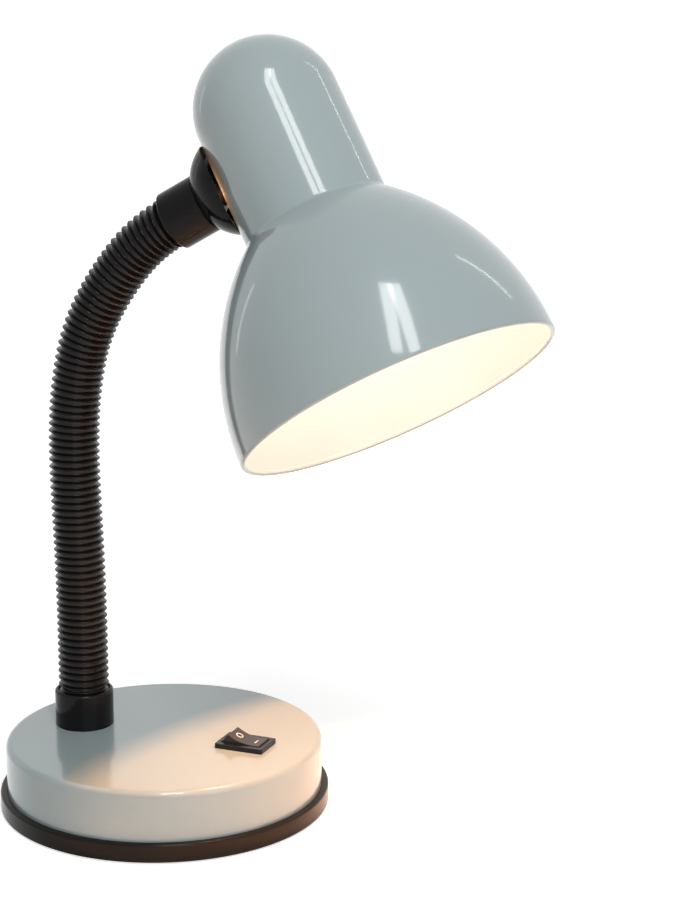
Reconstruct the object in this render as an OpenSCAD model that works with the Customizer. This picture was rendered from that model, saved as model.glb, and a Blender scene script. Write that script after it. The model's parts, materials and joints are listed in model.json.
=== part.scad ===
// Gooseneck desk lamp: weighted round base with a rocker switch, a flexible neck
// and a bell shade on a saddle-shaped holder. Millimetres, +Z up.
// The origin is the middle of the face that the base stands on.

/* [Base] */
// Diameter of the tray under the base
base_d = 135; // [110:1:170]
// Height of the base's flat top above the table
base_h = 28.5; // [27:0.5:40]
// Sheet thickness of the base shell
shell_wall = 1.0; // [0.8:0.1:1.6]
// Rounding of the shell's top edge
shell_round = 2.6; // [1.5:0.1:6]
// How far the tray's rim stands out past the shell
tray_lip = 2.8; // [2:0.1:5]
// Height of the tray's rim above the table
tray_top = 8.1; // [7:0.1:11]
// Thickness of the tray's floor
tray_floor = 2.0; // [1.5:0.1:3]
// Thickness of the foam pad that the lamp stands on
pad_t = 3.0; // [2:0.1:4]
// Thickness of the iron weight
weight_t = 7.0; // [5:0.5:8]
// Distance of the neck's foot behind the base's centre
foot_back = 37; // [25:1:40]
// Radius of the ring of screws that hold the base together
screw_ring_r = 38; // [32:1:44]
// Bore of the cord gland
gland_bore_r = 3.1; // [2.5:0.1:3.5]

/* [Switch] */
// Distance of the switch in front of the base's centre
switch_fwd = 36.5; // [28:0.5:40]
// Length of the switch's bezel
bezel_l = 21; // [18:0.5:24]
// Width of the switch's bezel
bezel_w = 15; // [13:0.5:18]
// Height of the bezel above the base's top
bezel_t = 2.0; // [1.5:0.1:3]
// Thickness of the switch body under the rocker's drum
switch_floor_t = 1.8; // [1.6:0.1:3]
// How far each end of the rocker tips from level
rocker_tip = 14; // [8:0.5:15]

/* [Neck] */
// Direction that the neck leans in, turned from the base's own axis
neck_turn = 8; // [-45:1:45]
// Height of the collar at the foot
collar_h = 15.3; // [12:0.1:20]
// Radius of the collar at the foot
collar_r = 12.1; // [11.5:0.1:14]
// Length of neck between two bending planes
link_l = 23.2; // [20:0.4:28]
// How far each length of the neck bends forward, from the foot to the head
neck_bends = [0, -1, -1, 1, 5, 9, 16, 11, 20]; // [-5:1:20]
// Ribs of the cover on each length of the neck
ribs = 8; // [7:1:9]
// Radius over the cover's ribs
rib_r = 10.4; // [10:0.1:11.2]
// Radius of the cover in the grooves
groove_r = 8.9; // [8.2:0.1:9.2]
// Width of a rib at its root
rib_w = 1.3; // [1.0:0.1:1.5]
// Radius of the steel hose inside the cover
hose_r = 6.9; // [6.2:0.1:7.5]

/* [Head] */
// Length of the smooth sleeve between the neck and the dish
sleeve_l = 16.3; // [14:0.1:22]
// Radius of the sleeve
sleeve_r = 12.0; // [11.5:0.1:13.5]
// Radius of the ball that the dish's back follows
dish_r = 21.5; // [18.5:0.1:23]
// Wall of the dish
dish_wall = 1.6; // [1.2:0.1:2.4]
// Radius of the hollow seat that the dish's rim is cut to
seat_r = 56; // [45:1:90]
// How far the shade is rolled about the sleeve's axis
head_roll = -16.2; // [-40:0.1:40]

/* [Shade] */
// Outer radius of the shade's neck and dome
cap_r = 29; // [28:0.5:34]
// Length of the shade's straight neck below the dome
cap_l = 48.3; // [44:0.1:60]
// Outer radius of the shade at its rim
rim_r = 64.3; // [56:0.1:76]
// Length from the dome's centre to the rim
shade_l = 124.8; // [112:0.1:150]
// Sheet thickness of the shade
shade_wall = 0.8; // [0.7:0.1:1.2]
// Radius of the rolled edge at the rim
hem_r = 1.1; // [0.9:0.1:1.6]
// Depth of the sleeve's axis below the dome's centre
seat_drop = 19.7; // [17:0.1:24]

/* [Lampholder and bulb] */
// Radius of the lampholder's skirt
holder_r = 13; // [11.5:0.1:13.4]
// Length of the lampholder's skirt
skirt_l = 30; // [28:1:34]
// Radius of the bulb
bulb_r = 22.5; // [18:0.5:26]
// Length of the bulb's glass below the lampholder
glass_l = 50; // [46:1:60]

/* [Hidden] */
$fn = 96;
LINKS = len(neck_bends);
BASE_NODES = [
    "base_shell", "base_tray", "base_pad", "base_weight", "tray_screws",
    "cord_gland", "gland_nut", "base_lead",
    "switch_housing", "switch_terminals", "rocker",
    "neck_collar", "neck_stud", "stud_washer", "stud_nut", "hose_foot"
];
NECK_NODES = [for (i = [1:LINKS], kind = ["cover_", "hose_"]) str("neck_", kind, i)];
HEAD_NODES = [
    "hose_end", "head_sleeve", "head_dish", "dish_nut", "head_nipple", "nipple_nut",
    "shade", "holder_bracket", "bracket_nipple", "bracket_nut",
    "lampholder_cap", "lampholder_skirt", "socket_shell", "socket_contact", "head_lead",
    "bulb_glass", "bulb_cap", "bulb_contact"
];

// clearances
slip = 0.05;            // radial play of a pin in its bore
ease = 0.3;             // gap between parts that only pass each other
eps = 0.01;             // overrun of a cut past a face

// threaded tubes, their nuts, and leads
m10_r = 5;              // thread radius
m10_bore = 3;           // lead channel through the tube
nut_flats = 14;         // spanner size
nut_t = 4;
thin_nut_t = 3;
thread_out = 0.6;       // how far a tube stands out of its nut
grip_l = 4.5;           // thread held by the hose at each end
washer_t = 1.2;
washer_r = 9.5;
lead_r = 2.2;

// base
shell_r = base_d/2 - tray_lip;
tray_r = base_d/2;
tray_lift = 0.6;        // height of the tray's rim off the table
tray_round = 1.2;
floor_z = pad_t;
seat_z = floor_z + tray_floor;
weight_top = seat_z + weight_t;
shell_in = shell_r - shell_wall;
shell_under = base_h - shell_wall;
pad_r = shell_in - 6;
weight_r = shell_in - 2;

// base screws: countersunk from below, through the weight, into posts under the shell's roof
screw_r = 1.5;
screw_hole_r = screw_r + 0.2;
screw_head_r = 2.9;
screw_head_h = 1.4;
screw_bite = 8;         // thread held by a post
post_r = 3.8;
screw_turns = [90, 210, 330];

// cord gland and its nut
gland_r = gland_bore_r + 1;
gland_flange_r = gland_r + 1.6;
gland_flange_t = 2.4;
gland_chamfer = 1;
gland_l = 7;
gland_nut_t = 2.4;
gland_nut_flats = 2*gland_r + 3;
gland_z = weight_top + gland_nut_flats/sqrt(3) + ease;
gland_seat = 0.35;      // room for the shell's curve under the nut's corners

// switch
bezel_round = 0.9;
bezel_step = 0.5;       // chamfer-like step round the bezel's top
body_l = bezel_l - 2;
body_w = bezel_w - 2.2;
mouth_l = bezel_l - 3.6;
mouth_w = bezel_w - 4.8;
pivot_z = base_h - 0.8;
cavity_r = mouth_l/2;
drum_r = cavity_r - ease;
drum_cut = 4.5;         // flat under the drum, below its pivot
dent_r = 20;            // radius of the hollow on top of the rocker
dent_z = bezel_t + 1.75; // lowest point of that hollow above the pivot
rocker_w = mouth_w - 2*ease;
trunnion_r = 1.5;
switch_floor = pivot_z - cavity_r - switch_floor_t;
blade_l = 6.5;
blade_w = 4.6;
blade_t = 0.8;
blade_root = 1.5;       // how far a blade is set into the switch body
blade_eye_r = 0.8;
blade_apart = 8.4;      // distance between the two blades' middles
clip_l = 4;
clip_h = 5;
clip_out = 1.1;         // how far a snap clip reaches past the body
clip_apart = 11;

// neck
foot_z = base_h + collar_h;
gap = 1.6;              // cut between two lengths of the neck
first_z = foot_z + gap/2;
end_rib = (gap + rib_w)/2;
pitch = (link_l - 2*end_rib)/(ribs - 1);
crest_r = 0.45;         // rounding on top of a rib
rib_bore_r = hose_r + 0.3*(groove_r - hose_r);
rib_root_r = hose_r + 0.75*(groove_r - hose_r); // a rib's flanks start inside the groove's wall
ball_r = hose_r - 1.4;
cup_r = ball_r + ease;
tuck = 0.3;             // distance of a groove wall's end from the middle of its rib
collar_round = 2.2;

// head, in a frame at the crossing of the sleeve's and the shade's axes:
// X points away from the neck along the sleeve, Z up along the shade
rim_x = -cap_r;         // the dish's tips touch the shade's neck here
dish_x = rim_x + 9.1;   // centre of the ball behind the dish
web_x = dish_x - sqrt(dish_r*dish_r - sleeve_r*sleeve_r);
web_t = 2.4;
nipple_x = web_x - web_t - grip_l;
dish_hole_r = m10_r + ease;
mouth_x = web_x - sleeve_l;
mouth_round = 0.8;
hinge_x = mouth_x - gap/2;
cap_in = cap_r - shade_wall;
port_r = 12;            // opening in the shade's neck behind the dish
bowl_r = (pow(shade_l - cap_l, 2) + pow(rim_r - cap_r, 2))/(2*(rim_r - cap_r));

// bracket that clamps the shade to the dish and carries the lampholder
strap_w = 16;
strap_t = 1.5;
strap_low = 17;         // reach of the strap below the sleeve's axis
strap_x = -sqrt(cap_in*cap_in - strap_w*strap_w/4);
strap_in = strap_x + strap_t;
bend_in = 1.5;
bend_out = bend_in + strap_t;
flange_z = seat_drop + 1;
nipple_end = strap_in + thin_nut_t + thread_out;
hang_l = 8;             // reach of the bracket's tube below the flange
rise_x = nipple_end + 5;
lie = lead_r - m10_bore; // the lead rests on the bottom of the tube's bore

// lampholder
skirt_top = 6;
skirt_end = skirt_top - skirt_l;
skirt_lip = 0.8;
skirt_lip_h = 3;
cap_top = flange_z - strap_t;
cap_round = 3;
holder_cap_r = holder_r + 1;
holder_wall = 2;
shell_t = 0.5;          // brass of the socket shell
e14_r = 6.9;            // radius over the bulb cap's thread
e14_l = 24;
contact_r = 4.5;
contact_t = 1;
socket_r = e14_r + slip + shell_t;

// bulb
glass_t = 1;
brass_t = 0.8;
thread_r = 0.9;         // rounding of the rolled thread
thread_pitch = 2.8;
thread_turns = 5;
bulb_cap_r = e14_r - 0.4;
throat_r = bulb_cap_r - brass_t;
throat_in = 2;          // how far the glass reaches into its cap
shoulder_a = 35;        // turn at which the ball runs into the bulb's neck
insulator_h = 2;
insulator_r = 4;
tip_r = 2.6;

// ------------------------------------------------------------------ neck path

function total(v, n, i = 0) = i >= n ? 0 : v[i] + total(v, n, i + 1);
function heading(i) = total(neck_bends, i);
function straight(bend) = abs(bend) < 0.01;
function turn_radius(bend) = straight(bend) ? 0 : link_l*180/(PI*bend);
function chord(bend) = straight(bend) ? link_l : 2*turn_radius(bend)*sin(bend/2);
function joint_at(i) = i == 0 ? [0, first_z] : joint_at(i - 1) + chord(neck_bends[i - 1])
    * [sin(heading(i - 1) + neck_bends[i - 1]/2), cos(heading(i - 1) + neck_bends[i - 1]/2)];

// moves to the neck's foot, with X in the direction that the neck leans
module at_foot() {
    translate([-foot_back, 0, 0]) rotate([0, 0, neck_turn]) children();
}

// moves to bending plane i of the neck, with Z along the neck
module at_joint(i) {
    p = joint_at(i);
    at_foot() translate([p[0], 0, p[1]]) rotate([0, heading(i), 0]) children();
}

// moves to station s along a length, bent by the share of its bend before the station
module at_station(bend, s) {
    part = bend*s/link_l;
    turn_r = turn_radius(bend);
    z = straight(bend) ? s : turn_r*sin(part);
    translate([turn_r*(1 - cos(part)), 0, z]) rotate([0, part, 0]) children();
}

// a round bar along the bent centre line, from station s0 to s1
module bent_bar(bend, s0, s1, r) {
    if (straight(bend)) {
        translate([0, 0, s0]) cylinder(r = r, h = s1 - s0);
    } else {
        turn_r = abs(turn_radius(bend));
        sweep = abs(bend)/link_l;
        mirror([bend < 0 ? 1 : 0, 0, 0])
            translate([turn_r, 0, 0]) rotate([0, sweep*s0, 0])
                rotate([90, 0, 180]) rotate_extrude(angle = sweep*(s1 - s0))
                    translate([turn_r, 0]) circle(r);
    }
}

// moves to the crossing of the sleeve's axis and the shade's axis
module at_head() {
    at_joint(LINKS) rotate([0, -90, 0]) translate([-hinge_x, 0, 0])
        rotate([head_roll, 0, 0]) children();
}

// lays a shape that is built up along Z on the head's X axis
module along_sleeve(x) {
    translate([x, 0, 0]) rotate([0, 90, 0]) children();
}

// ------------------------------------------------------------- shared shapes

module ring(r_out, r_in, h) {
    difference() {
        cylinder(r = r_out, h = h);
        translate([0, 0, -eps]) cylinder(r = r_in, h = h + 2*eps);
    }
}

module hex_nut(flats, r_in, h) {
    difference() {
        cylinder(r = flats/sqrt(3), h = h, $fn = 6);
        translate([0, 0, -eps]) cylinder(r = r_in, h = h + 2*eps);
    }
}

// half section from z0 to z1 whose outer top edge is rounded
module rounded_top_2d(r, z0, z1, round) {
    translate([0, z0]) square([r, z1 - z0 - round]);
    translate([0, z1 - round - eps]) square([r - round, round + eps]);
    translate([r - round, z1 - round]) circle(round);
}

module rounded_2d(l, w, r) {
    for (x = [-1, 1], y = [-1, 1]) translate([x*(l/2 - r), y*(w/2 - r)]) circle(r);
    square([l - 2*r, w], center = true);
    square([l, w - 2*r], center = true);
}

function unit(v) = v/norm(v);

// direction of a route at its point i
function along(route, i) = unit(route[min(i + 1, len(route) - 1)] - route[max(i - 1, 0)]);

// a lead swept along a route that stays in the plane y = 0, as one eight-sided tube
module lead(route, r) {
    sides = 8;
    last = len(route) - 1;
    rings = [for (i = [0:last], k = [0:sides - 1]) let (t = along(route, i), a = 360*k/sides)
        route[i] + r*(cos(a)*[0, 1, 0] + sin(a)*[-t[2], 0, t[0]])];
    walls = [for (i = [0:last - 1], k = [0:sides - 1]) let (n = (k + 1)%sides)
        [i*sides + k, (i + 1)*sides + k, (i + 1)*sides + n, i*sides + n]];
    caps = [[for (k = [0:sides - 1]) k], [for (k = [sides - 1:-1:0]) last*sides + k]];
    polyhedron(rings, concat(walls, caps));
}

// ---------------------------------------------------------------------- base

// places children on the ring of base screws, at height z
module at_screws(z) {
    for (a = screw_turns) rotate([0, 0, a]) translate([screw_ring_r, 0, z]) children();
}

module base_shell() color("slategray") difference() {
    union() {
        rotate_extrude() difference() {
            rounded_top_2d(shell_r, seat_z, base_h, shell_round);
            rounded_top_2d(shell_in, seat_z - 1, shell_under, max(shell_round - shell_wall, 0.1));
        }
        at_screws(weight_top) cylinder(r = post_r, h = base_h - shell_wall/2 - weight_top);
    }
    at_screws(weight_top - eps) cylinder(r = screw_r, h = screw_bite + 1);
    translate([-foot_back, 0, shell_under - 1]) cylinder(r = m10_r + ease, h = shell_wall + 2);
    translate([switch_fwd, 0, shell_under - 1]) linear_extrude(shell_wall + 2)
        square([body_l + ease, body_w + ease], center = true);
    translate([-shell_r - 1, 0, gland_z]) rotate([0, 90, 0])
        cylinder(r = gland_r + slip, h = gland_l + 1);
}

module base_tray() color("#1d1e20") difference() {
    rotate_extrude() difference() {
        rounded_top_2d(tray_r, tray_lift, tray_top, tray_round);
        square([pad_r, floor_z]);
        translate([0, seat_z]) square([shell_r + slip, tray_top]);
    }
    at_screws(floor_z - eps) {
        cylinder(r = screw_hole_r, h = tray_floor + 2*eps);
        cylinder(r1 = screw_head_r + slip, r2 = screw_hole_r, h = screw_head_h);
    }
}

module base_pad() color("#101010") cylinder(r = pad_r - ease, h = pad_t);

module base_weight() color("dimgray") difference() {
    translate([0, 0, seat_z]) cylinder(r = weight_r, h = weight_t);
    translate([switch_fwd, 0, seat_z - 1]) linear_extrude(weight_t + 2)
        rounded_2d(body_l + 12, body_w + 6, 4);
    at_screws(seat_z - 1) cylinder(r = screw_hole_r, h = weight_t + 2);
}

module tray_screws() color("silver") at_screws(floor_z) {
    cylinder(r1 = screw_head_r, r2 = screw_r, h = screw_head_h);
    cylinder(r = screw_r, h = tray_floor + weight_t + screw_bite);
}

module cord_gland() color("#18191b") translate([-shell_r, 0, gland_z]) rotate([0, 90, 0])
    difference() {
        rotate_extrude() {
            translate([0, -gland_flange_t]) square([gland_flange_r, gland_flange_t]);
            polygon([[0, -gland_flange_t], [gland_flange_r, -gland_flange_t],
                     [gland_flange_r - gland_chamfer, -gland_flange_t - gland_chamfer],
                     [0, -gland_flange_t - gland_chamfer]]);
            square([gland_r, gland_l]);
        }
        translate([0, 0, -gland_flange_t - gland_chamfer - 1])
            cylinder(r = gland_bore_r, h = gland_flange_t + gland_chamfer + gland_l + 2);
    }

module gland_nut() color("#232427")
    translate([gland_seat - shell_in, 0, gland_z]) rotate([0, 90, 0])
        hex_nut(gland_nut_flats, gland_r, gland_nut_t);

// mains lead from the switch, along the weight and up into the neck's threaded stud
module base_lead() color("#26272a") {
    lie_z = weight_top + lead_r;
    blade_x = switch_fwd - blade_apart/2 - blade_w/2;
    blade_z = switch_floor - blade_l/2;
    out_x = switch_fwd - body_l/2;
    lead([[blade_x, 0, blade_z], [out_x - 1, 0, blade_z], [out_x - 3, 0, blade_z + 2],
          [out_x - 6, 0, lie_z + 0.4], [out_x - 9, 0, lie_z],
          [9 - foot_back, 0, lie_z], [4 - foot_back, 0, lie_z + 0.8],
          [1 - foot_back, 0, lie_z + 3], [-foot_back, 0, lie_z + 7], [-foot_back, 0, base_h + 3]],
         lead_r);
}

// one snap clip under the shell's roof, on the side of the switch body towards +Y
module switch_clip() {
    rotate([90, 0, 90]) linear_extrude(clip_l, center = true)
        polygon([[body_w/2 - eps, shell_under], [body_w/2 + clip_out, shell_under],
                 [body_w/2 - eps, shell_under - clip_h]]);
}

module switch_housing() color("#141416") translate([switch_fwd, 0, 0]) difference() {
    union() {
        translate([0, 0, base_h]) linear_extrude(bezel_t - bezel_step)
            rounded_2d(bezel_l, bezel_w, bezel_round);
        translate([0, 0, base_h]) linear_extrude(bezel_t)
            rounded_2d(bezel_l - 2*bezel_step, bezel_w - 2*bezel_step, bezel_round - 0.2);
        translate([0, 0, switch_floor]) linear_extrude(base_h - switch_floor + eps)
            square([body_l, body_w], center = true);
        for (x = [-1, 1], side = [0, 1]) translate([x*clip_apart/2, 0, 0])
            mirror([0, side, 0]) switch_clip();
    }
    translate([0, 0, pivot_z]) rotate([90, 0, 0])
        cylinder(r = cavity_r, h = mouth_w, center = true);
    translate([-mouth_l/2, -mouth_w/2, pivot_z]) cube([mouth_l, mouth_w, bezel_t + 6]);
    translate([0, 0, pivot_z]) rotate([90, 0, 0])
        cylinder(r = trunnion_r + slip, h = body_w + 2*eps, center = true);
    for (x = [-1, 1]) translate([x*blade_apart/2 - blade_w/2, -blade_t/2, switch_floor - 1])
        cube([blade_w, blade_t, blade_root + 1]);
}

module switch_terminals() color("goldenrod") translate([switch_fwd, 0, switch_floor])
    for (x = [-1, 1]) translate([x*blade_apart/2 - blade_w/2, -blade_t/2, -blade_l]) difference() {
        cube([blade_w, blade_t, blade_l + blade_root]);
        translate([blade_w/2, -1, 2]) rotate([-90, 0, 0]) cylinder(r = blade_eye_r, h = 3);
    }

// the rocker about its own pivot, before it is tipped
module rocker_level() {
    rotate([90, 0, 0]) linear_extrude(rocker_w, center = true) difference() {
        intersection() {
            circle(drum_r);
            translate([-drum_r, -drum_cut]) square([2*drum_r, drum_cut + drum_r]);
        }
        translate([0, dent_z + dent_r]) circle(dent_r, $fn = 180);
    }
    rotate([90, 0, 0]) cylinder(r = trunnion_r, h = body_w - 0.4, center = true);
}

module rocker() color("#1a1a1c") translate([switch_fwd, 0, pivot_z])
    rotate([0, rocker_tip, 0]) rocker_level();

module neck_collar() color("#0f1012") at_foot() difference() {
    rotate_extrude() rounded_top_2d(collar_r, base_h, foot_z, collar_round);
    translate([0, 0, base_h - 1]) cylinder(r = hose_r, h = collar_h + 2);
}

module neck_stud() color("silver")
    translate([-foot_back, 0, shell_under - washer_t - nut_t - thread_out])
        ring(m10_r, m10_bore, thread_out + nut_t + washer_t + shell_wall + grip_l);

module stud_washer() color("lightgray") translate([-foot_back, 0, shell_under - washer_t])
    ring(washer_r, m10_r, washer_t);

module stud_nut() color("silver") translate([-foot_back, 0, shell_under - washer_t - nut_t])
    hex_nut(nut_flats, m10_r, nut_t);

module hose_foot() color("darkgray") at_foot() difference() {
    union() {
        translate([0, 0, base_h]) cylinder(r = hose_r, h = collar_h);
        translate([0, 0, first_z]) sphere(ball_r);
    }
    translate([0, 0, base_h - 1]) cylinder(r = m10_r, h = grip_l + 1);
}

// ---------------------------------------------------------------------- neck

// one rib of the cover, about its own middle
module rib() {
    rotate_extrude() {
        polygon([[rib_bore_r, -rib_w/2], [rib_root_r, -rib_w/2], [rib_r - crest_r, -crest_r],
                 [rib_r - crest_r, crest_r], [rib_root_r, rib_w/2], [rib_bore_r, rib_w/2]]);
        translate([rib_r - crest_r, 0]) circle(crest_r);
    }
}

module neck_cover(i) color("#17181a") at_joint(i - 1) {
    bend = neck_bends[i - 1];
    for (k = [0:ribs - 1]) at_station(bend, end_rib + k*pitch) rib();
    for (k = [0:ribs - 2]) at_station(bend, end_rib + (k + 0.5)*pitch)
        translate([0, 0, tuck - pitch/2]) ring(groove_r, hose_r, pitch - 2*tuck);
}

module neck_hose(i) color("darkgray") at_joint(i - 1) {
    bend = neck_bends[i - 1];
    difference() {
        union() {
            bent_bar(bend, gap/2, link_l - gap/2, hose_r);
            at_station(bend, link_l) sphere(ball_r);
        }
        sphere(cup_r);
    }
}

// ---------------------------------------------------------------------- head

module hose_end() color("darkgray") at_head() difference() {
    along_sleeve(mouth_x) cylinder(r = hose_r, h = sleeve_l - web_t);
    translate([hinge_x, 0, 0]) sphere(cup_r);
    along_sleeve(nipple_x) cylinder(r = m10_r, h = sleeve_l);
}

module head_sleeve() color("#17181a") at_head() difference() {
    along_sleeve(0) rotate_extrude() {
        translate([0, mouth_x + mouth_round]) square([sleeve_r, sleeve_l - mouth_round]);
        translate([0, mouth_x]) square([sleeve_r - mouth_round, 2*mouth_round]);
        translate([sleeve_r - mouth_round, mouth_x + mouth_round]) circle(mouth_round);
    }
    along_sleeve(mouth_x - 1) cylinder(r = hose_r, h = sleeve_l - web_t + 1);
    along_sleeve(web_x - web_t - 1) cylinder(r = m10_r + slip, h = web_t + 2);
}

// angle on a ball of radius r, from the sleeve's side, at which the dish's rim is cut by the
// seat in the plane at turn a: halves the span between lo and hi n times
function rim_angle(r, a, lo = 20, hi = 110, n = 24) = let (
        mid = (lo + hi)/2,
        x = dish_x - r*cos(mid) - (rim_x + seat_r),
        y = r*sin(mid)*sin(a)
    ) n == 0 ? mid
    : x*x + y*y > seat_r*seat_r ? rim_angle(r, a, mid, hi, n - 1) : rim_angle(r, a, lo, mid, n - 1);

// outline of the dish's wall in the plane at turn a, as [radius, x] points round the wall
function dish_outline(a) = let (
        steps = 7,
        r_in = dish_r - dish_wall,
        out0 = asin(sleeve_r/dish_r),
        out1 = rim_angle(dish_r, a),
        in0 = acos((dish_x - web_x - dish_wall)/r_in),
        in1 = rim_angle(r_in, a)
    ) concat(
        [[dish_hole_r, web_x]],
        [for (k = [0:steps]) let (t = out0 + (out1 - out0)*k/steps)
            [dish_r*sin(t), dish_x - dish_r*cos(t)]],
        [for (k = [steps:-1:0]) let (t = in0 + (in1 - in0)*k/steps)
            [r_in*sin(t), dish_x - r_in*cos(t)]],
        [[dish_hole_r, web_x + dish_wall]]
    );

// the saddle-rimmed dish, lofted round the sleeve's axis
module head_dish() color("#17181a") at_head() {
    turns = 48;
    outlines = [for (j = [0:turns - 1]) dish_outline(360*j/turns)];
    n = len(outlines[0]);
    points = [for (j = [0:turns - 1], q = outlines[j]) let (a = 360*j/turns)
        [q[1], q[0]*sin(a), q[0]*cos(a)]];
    faces = [for (j = [0:turns - 1], k = [0:n - 1]) let (j2 = (j + 1)%turns, k2 = (k + 1)%n)
        [j*n + k, j2*n + k, j2*n + k2, j*n + k2]];
    polyhedron(points, faces);
}

module dish_nut() color("silver") at_head() along_sleeve(web_x + dish_wall)
    hex_nut(nut_flats, m10_r, thin_nut_t);

module head_nipple() color("silver") at_head() along_sleeve(nipple_x)
    ring(m10_r, m10_bore, nipple_end - nipple_x);

module nipple_nut() color("silver") at_head() along_sleeve(strap_in)
    hex_nut(nut_flats, m10_r, thin_nut_t);

// half section of the shade, filled, with its skin pared down by the depth skin
module shade_2d(skin) {
    rim_z = seat_drop - shade_l;
    neck_z = seat_drop - cap_l;
    neck_tuck = 4;
    translate([0, seat_drop]) intersection() {
        circle(cap_r - skin, $fn = 180);
        square(cap_r);
    }
    translate([0, neck_z - neck_tuck]) square([cap_r - skin, cap_l + neck_tuck]);
    intersection() {
        translate([rim_r - bowl_r, rim_z]) circle(bowl_r - skin, $fn = 360);
        translate([0, rim_z]) square([rim_r, shade_l - cap_l]);
    }
}

module shade() color("#8b9799") at_head() difference() {
    rotate_extrude() {
        difference() {
            shade_2d(0);
            shade_2d(shade_wall);
            translate([0, seat_drop - shade_l - 1]) square([rim_r - shade_wall, 1 + eps]);
        }
        translate([rim_r - hem_r, seat_drop - shade_l]) circle(hem_r);
    }
    along_sleeve(-cap_r - 1) cylinder(r = port_r, h = cap_r/2);
}

// bent strap, seen from the side: up the shade's neck and across to its axis
module strap_2d() {
    translate([strap_x, -strap_low]) square([strap_t, strap_low + flange_z - bend_out]);
    translate([strap_x + bend_out, flange_z - strap_t]) square([-strap_x - bend_out, strap_t]);
    translate([strap_x + bend_out, flange_z - bend_out]) difference() {
        intersection() {
            circle(bend_out);
            translate([-bend_out, 0]) square(bend_out);
        }
        circle(bend_in);
    }
}

module holder_bracket() color("gainsboro") at_head() difference() {
    union() {
        rotate([90, 0, 0]) linear_extrude(strap_w, center = true) strap_2d();
        translate([0, 0, flange_z - strap_t]) cylinder(r = strap_w/2, h = strap_t);
    }
    along_sleeve(strap_x - 1) cylinder(r = m10_r + slip, h = strap_t + 2);
    translate([0, 0, flange_z - strap_t - 1]) cylinder(r = m10_r + slip, h = strap_t + 2);
    translate([rise_x, 0, flange_z - strap_t - 1]) cylinder(r = lead_r + ease, h = strap_t + 2);
}

module bracket_nipple() color("silver") at_head() translate([0, 0, flange_z - hang_l])
    ring(m10_r, m10_bore, hang_l + thin_nut_t + thread_out);

module bracket_nut() color("silver") at_head() translate([0, 0, flange_z])
    hex_nut(nut_flats, m10_r, thin_nut_t);

module lampholder_cap() color("#ece9e0") at_head() difference() {
    rotate_extrude() rounded_top_2d(holder_cap_r, skirt_top, cap_top, cap_round);
    translate([0, 0, flange_z - hang_l]) cylinder(r = m10_r, h = hang_l);
    translate([0, 0, skirt_top]) cylinder(r = m10_bore, h = cap_top - skirt_top - 1);
    translate([0, 0, skirt_top - 1]) cylinder(r = holder_r - holder_wall, h = 4);
}

module lampholder_skirt() color("#ece9e0") at_head() difference() {
    rotate_extrude() {
        translate([0, skirt_end]) square([holder_r, skirt_l]);
        translate([0, skirt_end]) square([holder_r + skirt_lip, skirt_lip_h]);
    }
    translate([0, 0, skirt_end - 1]) cylinder(r = socket_r, h = e14_l + contact_t + 2);
}

module socket_shell() color("goldenrod") at_head() translate([0, 0, skirt_end + skirt_lip_h])
    ring(socket_r, socket_r - shell_t, e14_l - 1);

module socket_contact() color("goldenrod") at_head() translate([0, 0, skirt_end + e14_l + 1])
    cylinder(r = contact_r, h = contact_t);

// lead from the sleeve's tube, up through the strap and down into the lampholder's tube
module head_lead() color("#26272a") at_head()
    lead([[strap_in - 6, 0, lie], [nipple_end, 0, lie], [nipple_end + 2.4, 0, lie + 0.6],
          [nipple_end + 4.2, 0, 2.4], [rise_x, 0, 5], [rise_x, 0, flange_z + 4],
          [rise_x*0.92, 0, flange_z + 8.8], [rise_x*0.72, 0, flange_z + 12.2],
          [rise_x/2, 0, flange_z + 13.4], [rise_x*0.28, 0, flange_z + 12.2],
          [rise_x*0.08, 0, flange_z + 8.8], [0, 0, flange_z + 4], [0, 0, flange_z - hang_l + 2]],
         lead_r);

// half section of the bulb's glass up to top_z, pared down by the depth skin
module bulb_2d(skin, top_z) {
    r = bulb_r - skin;
    translate([0, skirt_end - glass_l + bulb_r]) {
        intersection() {
            circle(r);
            translate([0, -bulb_r]) square([bulb_r, bulb_r + r*sin(shoulder_a)]);
        }
        polygon([[0, 0], [r*cos(shoulder_a), r*sin(shoulder_a)],
                 [throat_r - skin, glass_l - bulb_r - 2], [throat_r - skin, top_z], [0, top_z]]);
    }
}

module bulb_glass() color("ivory") at_head() rotate_extrude() difference() {
    bulb_2d(0, glass_l - bulb_r + throat_in);
    bulb_2d(glass_t, glass_l - bulb_r + throat_in + 1);
}

module bulb_cap() color("silver") at_head() translate([0, 0, skirt_end]) {
    ring(bulb_cap_r, throat_r, e14_l - 3);
    for (k = [0:thread_turns]) translate([0, 0, 5 + k*thread_pitch]) rotate_extrude()
        translate([e14_r - thread_r, 0]) circle(thread_r, $fn = 32);
    translate([0, 0, e14_l - 3]) cylinder(r1 = bulb_cap_r, r2 = insulator_r, h = insulator_h);
}

module bulb_contact() color("silver") at_head()
    translate([0, 0, skirt_end + e14_l - 3 + insulator_h]) cylinder(r = tip_r, h = 2);

base_shell();
base_tray();
base_pad();
base_weight();
tray_screws();
cord_gland();
gland_nut();
base_lead();
switch_housing();
switch_terminals();
rocker();
neck_collar();
neck_stud();
stud_washer();
stud_nut();
hose_foot();
for (i = [1:LINKS]) neck_cover(i);
for (i = [1:LINKS]) neck_hose(i);
hose_end();
head_sleeve();
head_dish();
dish_nut();
head_nipple();
nipple_nut();
shade();
holder_bracket();
bracket_nipple();
bracket_nut();
lampholder_cap();
lampholder_skirt();
socket_shell();
socket_contact();
head_lead();
bulb_glass();
bulb_cap();
bulb_contact();
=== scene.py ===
import json
import math

import bmesh
import bpy
from bpy.props import FloatProperty, FloatVectorProperty, IntProperty, PointerProperty
from mathutils import Matrix, Vector

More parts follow.
